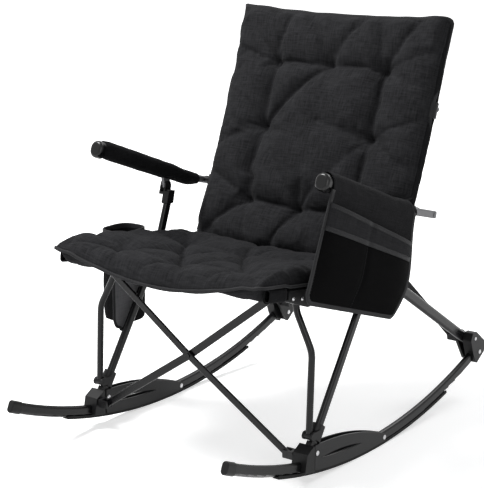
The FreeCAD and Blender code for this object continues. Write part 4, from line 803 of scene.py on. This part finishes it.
def quilted(piece, pad):
    # sewn valleys along the creases, small gathers round each tuft, and a light crumple,
    # on the upper side inside the seam
    layer = piece.data.uv_layers[0].data
    spots = {loop.vertex_index: layer[loop.index].uv for loop in piece.data.loops}
    broad, fine = sewing["crumple"]
    normals = [v.normal.copy() for v in piece.data.vertices]
    for vertex, normal in zip(piece.data.vertices, normals):
        x, run = spots[vertex.index]
        if run > sewing["upperRun"] or abs(x) > pad["half"] - sewing["plainRim"]:
            continue
        dip = 0.0
        for line in pad["lines"]:
            t, away = lineAway(line, x, run)
            if away < sewing["valleyReach"]:
                sewn = math.exp(-(away / sewing["valleyWidth"]) ** 1.4) * (1 - 0.6 * t * t)
                dip = max(dip, line[4] * pad["valley"] * sewn)
        for k, (tx, ty) in enumerate(pad["tufts"]):
            near = math.hypot(x - tx, run - ty)
            if near < sewing["gatherReach"]:
                turn = math.atan2(run - ty, x - tx)
                fold = math.sin(9 * turn + k * 1.7) + 0.7 * math.sin(14 * turn + k * 2.9)
                fold *= math.exp(-near / sewing["gatherFade"]) * min(near / sewing["gatherStart"], 1.0)
                button = math.exp(-(near / sewing["buttonWidth"]) ** 2)
                dip += pad["weak"].get(k, 1.0) * (sewing["gatherDepth"] * fold + sewing["button"] * button)
        crumple = noise.noise((x * 34, run * 30, 5.0)) * broad
        crumple += noise.noise((x * 80, run * 72, 9.0)) * fine
        vertex.co += normal * (crumple - dip)
    piece.data.update()


def rimPath(piece, pad, closest=0.004):
    # the edge of a pad, once round, with its outward directions
    rows, columns, width = pad["rows"], pad["columns"], pad["width"]
    ring = [r * width + columns - 1 for r in range(rows)]
    ring += [(rows - 1) * width + c for c in range(columns - 2, -1, -1)]
    ring += [r * width for r in range(rows - 2, -1, -1)]
    ring += [c for c in range(1, columns - 1)]
    path = [piece.data.vertices[i].co.copy() for i in ring]
    middle = sum(path, Vector()) / len(path)
    keep = [path[0]]
    for p in path[1:]:
        if (p - keep[-1]).length > closest:
            keep.append(p)
    if (keep[0] - keep[-1]).length < closest:
        keep.pop()
    return keep, outwardFrom(middle, keep)


def makePad(pad, node, body):
    piece = padMesh(pad)
    puffed(piece, pad)
    path, outward = rimPath(piece, pad)
    for turn in range(2):
        path = [(path[i - 1] + path[i] * 2 + path[(i + 1) % len(path)]) / 4 for i in range(len(path))]
    setUp(piece.modifiers.new("soft", "SUBSURF"), levels=1, render_levels=1)
    settled(piece)
    quilted(piece, pad)
    binding = sweptBand(pad["name"] + "_binding", path, outward, tapeSection(*sewing["tape"]), True)
    ups = [up * sewing["stitchUp"] for out, up in bandFrames(path, outward, True)]
    ins = [out * sewing["stitchIn"] for out in outward]
    seams = stitched(pad["name"] + "_stitches", [[p + u - n for p, u, n in zip(path, ups, ins)],
                                                 [p - u - n for p, u, n in zip(path, ups, ins)]], True)
    carried(piece, body, node)
    carried(binding, body)
    carried(seams, body)
    for item in (piece, binding, seams):
        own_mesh(item)
    print(pad["name"], "made with", len(piece.data.polygons), "faces")


makePad(seatPad, "seat_pad", "right_seat")
makePad(backPad, "back_pad", "right_back")


# fabric sleeves round the seat rails and the back tubes
sleeves = dict(seatRuns=((-0.357, -0.2975), (-0.1905, 0.066)), seatHalf=(0.0085, 0.0150), seatRing=24,
               backRuns=((0.2735, 0.6165), (0.6835, 1.004)), backRadius=0.0114, backRing=22, topRound=0.009,
               step=0.0045, wall=0.0013, gather=(0.0009, 0.0004))


def stadium(wide, high, count):
    # flat-oval ring, once round
    flat = max(high - wide, 0.0)
    ring = []
    for i in range(count):
        turn = 2 * math.pi * i / count
        a, b = math.cos(turn) * wide, math.sin(turn) * wide
        ring.append((a, b + (flat if b > 1e-9 else -flat if b < -1e-9 else 0.0)))
    return ring


def clothTubes(name, runs, finish, wall, capped=False):
    # rings of gathered cloth along runs of frames (place, side, up, scale), as one piece
    points, flat, faces = [], [], []
    broad, fine = sleeves["gather"]
    for frames, ring, seed in runs:
        faces += gridFaces(len(frames), len(ring), True, len(points))
        for i, (place, side, up, scale) in enumerate(frames):
            for a, b in ring:
                spot = place + side * a * scale + up * b * scale
                gather = noise.noise(spot * 55 + Vector((seed, 0, 0))) * broad
                gather += noise.noise(spot * 160) * fine
                points.append(spot + (side * a + up * b).normalized() * max(gather, -fine))
                flat.append((a, i * 0.004))
    if capped:
        faces.append(tuple(range(len(points) - len(ring), len(points))))
    return thickened(facingOut(meshPiece(name, points, faces, cloths[finish], flat)), wall)


def makeSleeves(sign, side):
    out = across * sign
    railUp = Vector((0, -chair["railSlope"], 1)).normalized()
    runs = []
    for a, b in sleeves["seatRuns"]:
        count = max(int((b - a) / sleeves["step"]), 4)
        places = [a + (b - a) * i / count for i in range(count + 1)]
        frames = [(Vector((sign * chair["railX"], y, railZ(y))), out, railUp, 1.0) for y in places]
        runs.append((frames, stadium(*sleeves["seatHalf"], sleeves["seatRing"]), 3.1 * sign))
    seat = clothTubes("seat_rail_sleeve_" + side, runs, "sleeve", sleeves["wall"])
    runs = []
    radius, chord = sleeves["backRadius"], backAt(0)[2]
    for n, (a, b) in enumerate(sleeves["backRuns"]):
        count = int((b - a) * chord / sleeves["step"])
        frames = []
        for i in range(count + 1):
            share = a + (b - a) * i / count
            place, way, chord = backAt(share)
            scale = rounded((b - share) * chord + 0.0002, sleeves["topRound"]) if n else 1.0
            frames.append((place + out * chair["backX"], out, across.cross(way), max(scale, 0.06)))
        runs.append((frames, stadium(radius, radius, sleeves["backRing"]), 7.7 * sign))
    back = clothTubes("back_tube_sleeve_" + side, runs, "sleeve", sleeves["wall"], True)
    carried(seat, side + "_seat", "seat_sleeve_" + side)
    carried(back, side + "_back", "back_sleeve_" + side)


for sign, side in bothSides:
    makeSleeves(sign, side)
print("sleeves made")


# padded arm covers, from the frame's own shape
armCover = dict(voxel=0.0032, smooth=5, gather=0.0008, rearSink=0.006, sinkAlong=(0.045, 0.075))


def makeArmCover(side):
    shape = nodes["arm_pad_" + side].data.copy()
    cover = facingOut(addObject("arm_cover_" + side, shape, cloths["arm"]))
    setUp(cover.modifiers.new("remesh", "REMESH"), mode="VOXEL", voxel_size=armCover["voxel"])
    setUp(cover.modifiers.new("soft", "SMOOTH"), factor=0.5, iterations=armCover["smooth"])
    settled(cover)
    shadeSmooth(cover.data)
    normals = [v.normal.copy() for v in cover.data.vertices]
    for vertex, normal in zip(cover.data.vertices, normals):
        spot = vertex.co
        gather = noise.noise((spot.x * 30, spot.y * 26, spot.z * 26)) + 0.5 * noise.noise(spot * 90)
        sink = armCover["rearSink"] * ramp(spot.y, *armCover["sinkAlong"])
        vertex.co = spot + normal * gather * armCover["gather"] - Vector((0, 0, sink))
    cover.data.update()
    carried(cover, side + "_arm", "arm_pad_" + side)


for sign, side in bothSides:
    makeArmCover(side)
print("arm covers made")


# organizer: a panel that hangs over the right armrest, with a canvas band and a net pocket
organizer = dict(
    corner=(-0.194, 0.641), way=(0.9504, -0.3111), drop=(-0.3889, -0.9504), x=0.3334, wall=0.0018,
    deep=0.233, right=[(0, 0.342), (0.68, 0.378), (1, 0.354)], flare=0.006, cornerCut=0.016,
    armX=0.313, armFront=(-0.192, 0.651), armBend=(0.060, 0.556), armRear=(0.254, 0.505),
    armHalf=(0.0194, 0.0230), armLift=0.004, overTurn=165, overRun=(0.004, 0.338), overRows=14,
    overCloth=0.05, overScale=[(0, 0.95), (0.1, 1.0), (0.6, 0.985), (0.86, 0.88), (1, 0.80)],
    rows=44, columns=64, binding=(0.011, 0.0044), sideStitch=(0.014, 0.986), sideLift=0.0024,
    pocketTop=(0.027, 0.066), bandEnd=(0.080, 0.104), pocketFoot=0.003, lap=0.008, bulge=0.0095,
    pocketWall=0.0011, pocketRight=[(0, 0.340), (0.30, 0.354), (0.68, 0.373), (1, 0.349)],
    pocketLift=0.0013, pocketGrid=(26, 70), divider=0.47, dividerRun=(0.100, 0.225), dividerNip=0.28,
    hems=(("organizer_top_hem", "pocketTop", 0.004, 0.009, 0.0013),
          ("organizer_net_hem", "bandEnd", -0.001, 0.010, 0.0014)), hemThick=0.0022)


def onPanel(x, run, down):
    (y, z), (runY, runZ), (downY, downZ) = organizer["corner"], organizer["way"], organizer["drop"]
    return Vector((x, y + runY * run + downY * down, z + runZ * run + downZ * down))


def bentLine(first, bend, last, value):
    # second coordinate on a line with one bend, from the first one
    a, b = (first, bend) if value < bend[0] else (bend, last)
    return a[1] + (value - a[0]) * (b[1] - a[1]) / (b[0] - a[0])


def panelRun(u, v):
    # distance along and below the panel's top, with a rounded lower edge
    flare = organizer["flare"] * v
    corner = max(0.0, (abs(2 * u - 1) - 0.90) / 0.10) * max(0.0, (v - 0.86) / 0.14)
    return (-flare + u * (along(organizer["right"], v) + flare),
            organizer["deep"] * v - organizer["cornerCut"] * corner ** 1.7)


def panelX(u, v):
    return organizer["x"] + 0.0011 * noise.noise((u * 3.1, v * 2.3, 4.4)) * v - 0.0006 * v


def panelPoint(u, v):
    # below 0 the panel goes up and over the armrest
    if v >= 0:
        run, down = panelRun(u, v)
        return onPanel(panelX(u, v), run, down), (run, down)
    turn = math.radians(organizer["overTurn"] * -v)
    run = sloped(organizer["overRun"], u)
    y = organizer["corner"][0] + organizer["way"][0] * run
    z = bentLine(organizer["armFront"], organizer["armBend"], organizer["armRear"], y) + organizer["armLift"]
    wide, high = organizer["armHalf"]
    scale = along(organizer["overScale"], u)
    x = organizer["armX"] + math.cos(turn) * wide * math.sqrt(scale) ** 0.6
    return Vector((x, y, z + math.sin(turn) * high * scale)), (run, organizer["overCloth"] * v)


def makePanel():
    over = organizer["overRows"]
    levels = [r / over - 1 for r in range(over)] + shares(organizer["rows"])
    sheet, area, points = clothGrid("organizer_sheet", levels, organizer["columns"], panelPoint, "organizer",
                                    organizer["wall"])
    edge = [panelRun(0, v) for v in shares(31)] + [panelRun(u, 1) for u in shares(49)[1:]] + \
        [panelRun(1, 1 - v) for v in shares(31)[1:]]
    path = [onPanel(panelX(0.5, 0.5), run, down) for run, down in edge]
    middle = onPanel(organizer["x"], 0.18, 0.10)
    binding = sweptBand("organizer_binding", path, outwardFrom(middle, path),
                        tapeSection(*organizer["binding"]))
    return sheet, binding, area


def pocketPoint(u, down, lift):
    deep = organizer["deep"] - organizer["pocketFoot"]
    top = sloped(organizer["pocketTop"], u)
    v = max(0.0, (down - top) / (deep - top))
    run = -0.002 + u * (along(organizer["pocketRight"], down / organizer["deep"]) + 0.002)
    side = 1 - abs(2 * u - 1) ** 7
    waist = 1 - organizer["dividerNip"] * math.exp(-((u - organizer["divider"]) / 0.03) ** 2)
    ripple = noise.noise((u * 4.0, v * 2.0, 1.3)) * 0.0012
    x = organizer["x"] + organizer["pocketLift"] + lift
    x += (organizer["bulge"] * waist + ripple) * side * (1 - v ** 5)
    return onPanel(x, run, down), (run, down)


def bandPoint(u, v):
    ends = sloped(organizer["pocketTop"], u), sloped(organizer["bandEnd"], u)
    return pocketPoint(u, sloped(ends, v), 0.0006)


def netPoint(u, v):
    ends = sloped(organizer["bandEnd"], u) - organizer["lap"], organizer["deep"] - organizer["pocketFoot"]
    return pocketPoint(u, sloped(ends, v), -0.0004)


def makePocket():
    rows, columns = organizer["pocketGrid"]
    wall = organizer["pocketWall"]
    cloth = [clothGrid("organizer_" + finish, shares(rows), columns, spot, finish, wall)[:2]
             for finish, spot in (("band", bandPoint), ("net", netPoint))]
    lower = Vector((0, *organizer["drop"])).normalized()
    hems, lines = [], []
    for name, edge, shift, wide, lift in organizer["hems"]:
        path = [pocketPoint(u, sloped(organizer[edge], u) + shift, lift)[0] for u in shares(61)]
        hems.append(sweptBand(name, path, [-lower] * 61, tapeSection(wide, organizer["hemThick"])))
        for row in (-0.3, 0.3):
            lines.append([p + Vector((0.0012, 0, 0)) + lower * row * wide for p in path[2:-2]])
    spots = [sloped(organizer["dividerRun"], share) for share in shares(31)]
    lines.append([pocketPoint(organizer["divider"], down, 0.0004)[0] for down in spots])
    x = panelX(0.5, 0.5) + organizer["sideLift"]
    for u in organizer["sideStitch"]:
        lines.append([onPanel(x, *panelRun(u, v)) for v in shares(31)[1:-1]])
    return cloth, hems, stitched("organizer_stitches", lines)


panelSheet, panelBinding, panelArea = makePanel()
((bandSheet, bandArea), (netSheet, netArea)), pocketHems, organizerStitches = makePocket()
carried(panelSheet, "right_arm", "organizer_panel")
for piece in (panelBinding, organizerStitches, bandSheet):
    carried(piece, "right_arm")
carried(netSheet, "right_arm", "organizer_pocket")
for piece in pocketHems:
    carried(piece, "right_arm")
print("organizer made, areas", round(panelArea, 4), round(bandArea, 4), round(netArea, 4))


# cup pouch on the left post, with its panel and straps
cup = dict(
    x=(-0.3986, -0.3172), y=(-0.118, -0.020), z=(0.215, 0.440), wall=0.0018, ring=56, squareness=0.62,
    dent=0.0028, foldUp=0.012, hem=(0.0042, 0.013), hemDrop=0.006, stitchOut=0.0022, stitchDrop=0.0105,
    panelX=-0.3153, panelFront=-0.154, panelTop=0.441, panelLow=0.212, panelFall=0.030,
    fallAcross=(0.45, 0.55), panelRear=0.008, panelGrid=(50, 34), panelMiddle=(-0.08, 0.36),
    panelTape=(0.007, 0.0034),
    foot=(-0.224, 0.0663), bend=(-0.0095, 0.390), top=(0.038, 0.521), postX=-0.300, postHalf=(0.0068, 0.0113),
    straps=((-0.0473, 0.3331), (-0.0041, 0.4050)), strapWide=0.024, strapRoom=0.0022, strapWall=0.0016,
    tabX=(-0.3086, -0.3106, -0.3128, -0.3150), tab=(0.017, 0.008))


def makePouch():
    (x0, x1), (y0, y1), (z0, z1) = cup["x"], cup["y"], cup["z"]
    middle = Vector(((x0 + x1) / 2, (y0 + y1) / 2, 0))
    halfX, halfY, tall, fold = (x1 - x0) / 2, (y1 - y0) / 2, z1 - z0, cup["foldUp"]
    count, power, points, flat = cup["ring"], cup["squareness"], [], []
    levels = [(0.0, k / 5) for k in range(1, 5)] + [(0.004, 0.955), (fold, 0.985)] + \
        [(fold + (tall - fold) * k / 26, 1.0) for k in range(1, 27)]
    for up, spread in levels:
        share = up / tall
        swell = spread * (0.955 + 0.035 * math.sin(math.pi * min(share * 1.15, 1.0)) + 0.012 * share)
        for k in range(count):
            turn = 2 * math.pi * k / count
            c, s = math.cos(turn), math.sin(turn)
            a = math.copysign(abs(c) ** power, c) * halfX
            b = math.copysign(abs(s) ** power, s) * halfY
            dent = noise.noise(Vector((a, b, up)) * 17 + Vector((5, 1, 2))) * cup["dent"]
            dent *= min(1.0, share * 6) * (0.4 if c > 0.5 else 1.0)
            lean = 0.0 if c < 0 else (1 - swell) * halfX * abs(c) * 0.9
            points.append(middle + Vector((a * swell + lean - c * abs(dent), b * swell - s * dent, z0 + up)))
            flat.append((turn * 0.045, up))
    faces = [tuple(range(count))[::-1]] + gridFaces(len(levels), count, True)
    pouch = meshPiece("cup_pouch_shell", points, faces, cloths["pouch"], flat)
    thickened(facingOut(pouch), cup["wall"])
    rim = points[-count:]
    outward = outwardFrom(sum(rim, Vector()) / count, rim)
    hem = sweptBand("cup_pouch_hem", [p - Vector((0, 0, cup["hemDrop"])) for p in rim], outward,
                    tapeSection(*cup["hem"]), True)
    low = [p + out * cup["stitchOut"] - Vector((0, 0, cup["stitchDrop"])) for p, out in zip(rim, outward)]
    return pouch, hem, stitched("cup_pouch_stitches", [low], True)


def cupPanelPoint(u, share):
    level = sloped((cup["panelLow"], cup["panelTop"]), share)
    fall = cup["panelFall"] * share
    line = [point[::-1] for point in (cup["foot"], cup["bend"], cup["top"])]
    front = cup["panelFront"] + 0.022 * (1 - rounded(share * 0.23, 0.03))
    rear = bentLine(*line, level - fall) + cup["panelRear"] - 0.012 * (1 - rounded(share * 0.23, 0.016))
    y = front + (rear - front) * u
    z = level - fall * ramp(u, *cup["fallAcross"])
    wave = noise.noise((y * 14, z * 9, 2.2)) * 0.0010
    return Vector((cup["panelX"] + wave - 0.0004, y, z - 0.006 * u * (1 - share) ** 6)), (y, z)


def makeCupPanel():
    rows, columns = cup["panelGrid"]
    panel, area, points = clothGrid("cup_panel_sheet", shares(rows), columns, cupPanelPoint, "cup",
                                    cup["wall"])
    edge = [points[r * columns] for r in range(rows - 1, -1, -1)] + points[1:columns] + \
        [points[r * columns + columns - 1] for r in range(1, rows)]
    outward = outwardFrom(Vector((cup["panelX"], *cup["panelMiddle"])), edge)
    return panel, sweptBand("cup_panel_binding", edge, outward, tapeSection(*cup["panelTape"])), area


def makeStraps():
    runs = []
    post = [Vector((0, *cup[key])) for key in ("foot", "bend", "top")]
    ring = stadium(*(half + cup["strapRoom"] for half in cup["postHalf"]), 28)
    for n, (y, z) in enumerate(cup["straps"]):
        way = (post[n + 1] - post[n]).normalized()
        middle, up = Vector((cup["postX"], y, z)), across.cross(way)
        frames = [(middle + way * ((t - 0.5) * cup["strapWide"]), across, up, 1.05 - 0.05 * (2 * t - 1) ** 2)
                  for t in shares(9)]
        runs.append((frames, ring, 2.0 + n))
    return clothTubes("cup_straps", runs, "tape", cup["strapWall"])


def makeTab(n, y, z):
    # joins a strap to the panel
    path = [Vector((x, y + 0.001 * i, z)) for i, x in enumerate(cup["tabX"])]
    return sweptBand("cup_tab_%d" % n, path, [Vector((0, 0, 1))] * 4, tapeSection(*cup["tab"]))


pouchShell, pouchHem, pouchThread = makePouch()
cupSheet, cupBinding, cupArea = makeCupPanel()
cupStraps = makeStraps()
cupTabs = [makeTab(n, *place) for n, place in enumerate(cup["straps"])]
carried(pouchShell, "left_frame", "cup_pouch")
carried(cupSheet, "left_frame", "cup_panel")
for piece in (pouchHem, pouchThread, cupBinding, cupStraps, *cupTabs):
    carried(piece, "left_frame")
print("cup pouch made, panel area", round(cupArea, 4))

# steel rivet heads on the plastic fittings
rivets = dict(radius=0.0042, spots=dict(
    seat=[(0.2922, -0.2755, 0.4185), (0.2922, -0.2440, 0.4120), (0.2922, -0.2125, 0.3985)],
    frame=[(0.3141, 0.4700, 0.1535)]))


def makeRivets(sign, side):
    for part, spots in rivets["spots"].items():
        mesh = bpy.data.meshes.new("rivet_spots")
        mesh.from_pydata([(x * sign, y, z) for x, y, z in spots], [], [])
        for item in mesh.attributes.new("aim", "FLOAT_VECTOR", "POINT").data:
            item.vector = (sign, 0, 0)
        heads = grown("rivet_heads_%s_%s" % (part, side), addObject("rivet_spots", mesh), rivetRow,
                      {"Radius": rivets["radius"], "Finish": finishes["rivet"]})
        carried(heads, side + "_" + part)


for sign, side in bothSides:
    makeRivets(sign, side)
print("rivets made")

# floor, light and camera
studio = dict(floor=30.0, floorShade=0.84, floorGrain=0.02, lift=0.50, near=0.9, far=2.6,
              worldLight=0.28, worldTint=(0.97, 0.985, 1.0, 1),
              camera=(2.1034, -2.8315, 1.2997), target=(0.0, -0.06765, 0.4519), lens=116.12,
              lampAim=(0, 0, 0.45), lamps=(("key", (-1.5, -1.1, 3.6), 1.4, 175.0),
                                           ("fill", (3.0, -2.4, 1.8), 2.2, 34.0),
                                           ("rim", (0.8, 3.0, 3.0), 2.0, 60.0)))


def aimed(name, data, place, target):
    made = addObject(name, data)
    made.location = place
    made.rotation_euler = (Vector(target) - Vector(place)).to_track_quat("-Z", "Y").to_euler()
    return made


def paleFloor():
    # lit as it is near the chair, and fading to white far away
    paint = Paint("pale_floor")
    flat = paint.place()
    shade, lift, grain = studio["floorShade"], studio["lift"], studio["floorShade"] + studio["floorGrain"]
    away = paint.node("ShaderNodeVectorMath", {"operation": "LENGTH"}, {0: flat}, output="Value")
    glow = paint.blend(paint.band(away, studio["near"], studio["far"]), grey(lift, lift), grey(1.0, 1.0))
    mottled = paint.blend(paint.noise(flat, 3.0, 3.0), grey(shade, shade), grey(grain, grain))
    return paint.finish(Base_Color=mottled, Roughness=0.9, Emission_Strength=1.0,
                        Emission_Color=paint.blend(paint.seen(), grey(0.0, 0.0), glow))


def paleWorld():
    paint = Paint("studio", "worlds")
    soft = paint.node("ShaderNodeBackground", None,
                      {"Color": studio["worldTint"], "Strength": studio["worldLight"]})
    white = paint.node("ShaderNodeBackground", None, {"Color": (1, 1, 1, 1)})
    mixed = paint.node("ShaderNodeMixShader", None, {0: paint.seen(), 1: soft, 2: white})
    paint.node("ShaderNodeOutputWorld", None, {"Surface": mixed})
    return paint.owner


def makeStudio():
    scene = bpy.context.scene
    side = studio["floor"]
    corners = [(-side, -side, 0), (side, -side, 0), (side, side, 0), (-side, side, 0)]
    meshPiece("studio_floor", corners, [(0, 1, 2, 3)], paleFloor())
    scene.world = paleWorld()
    for name, place, wide, power in studio["lamps"]:
        lamp = setUp(bpy.data.lights.new(name, "AREA"), shape="SQUARE", size=wide, energy=power)
        aimed(name, lamp, place, studio["lampAim"])
    eye = setUp(bpy.data.cameras.new("camera"), lens=studio["lens"], sensor_fit="VERTICAL", sensor_height=36,
                clip_end=100)
    scene.camera = aimed("camera", eye, studio["camera"], studio["target"])
    scene.view_settings.view_transform = "Standard"


makeStudio()
print("studio made")
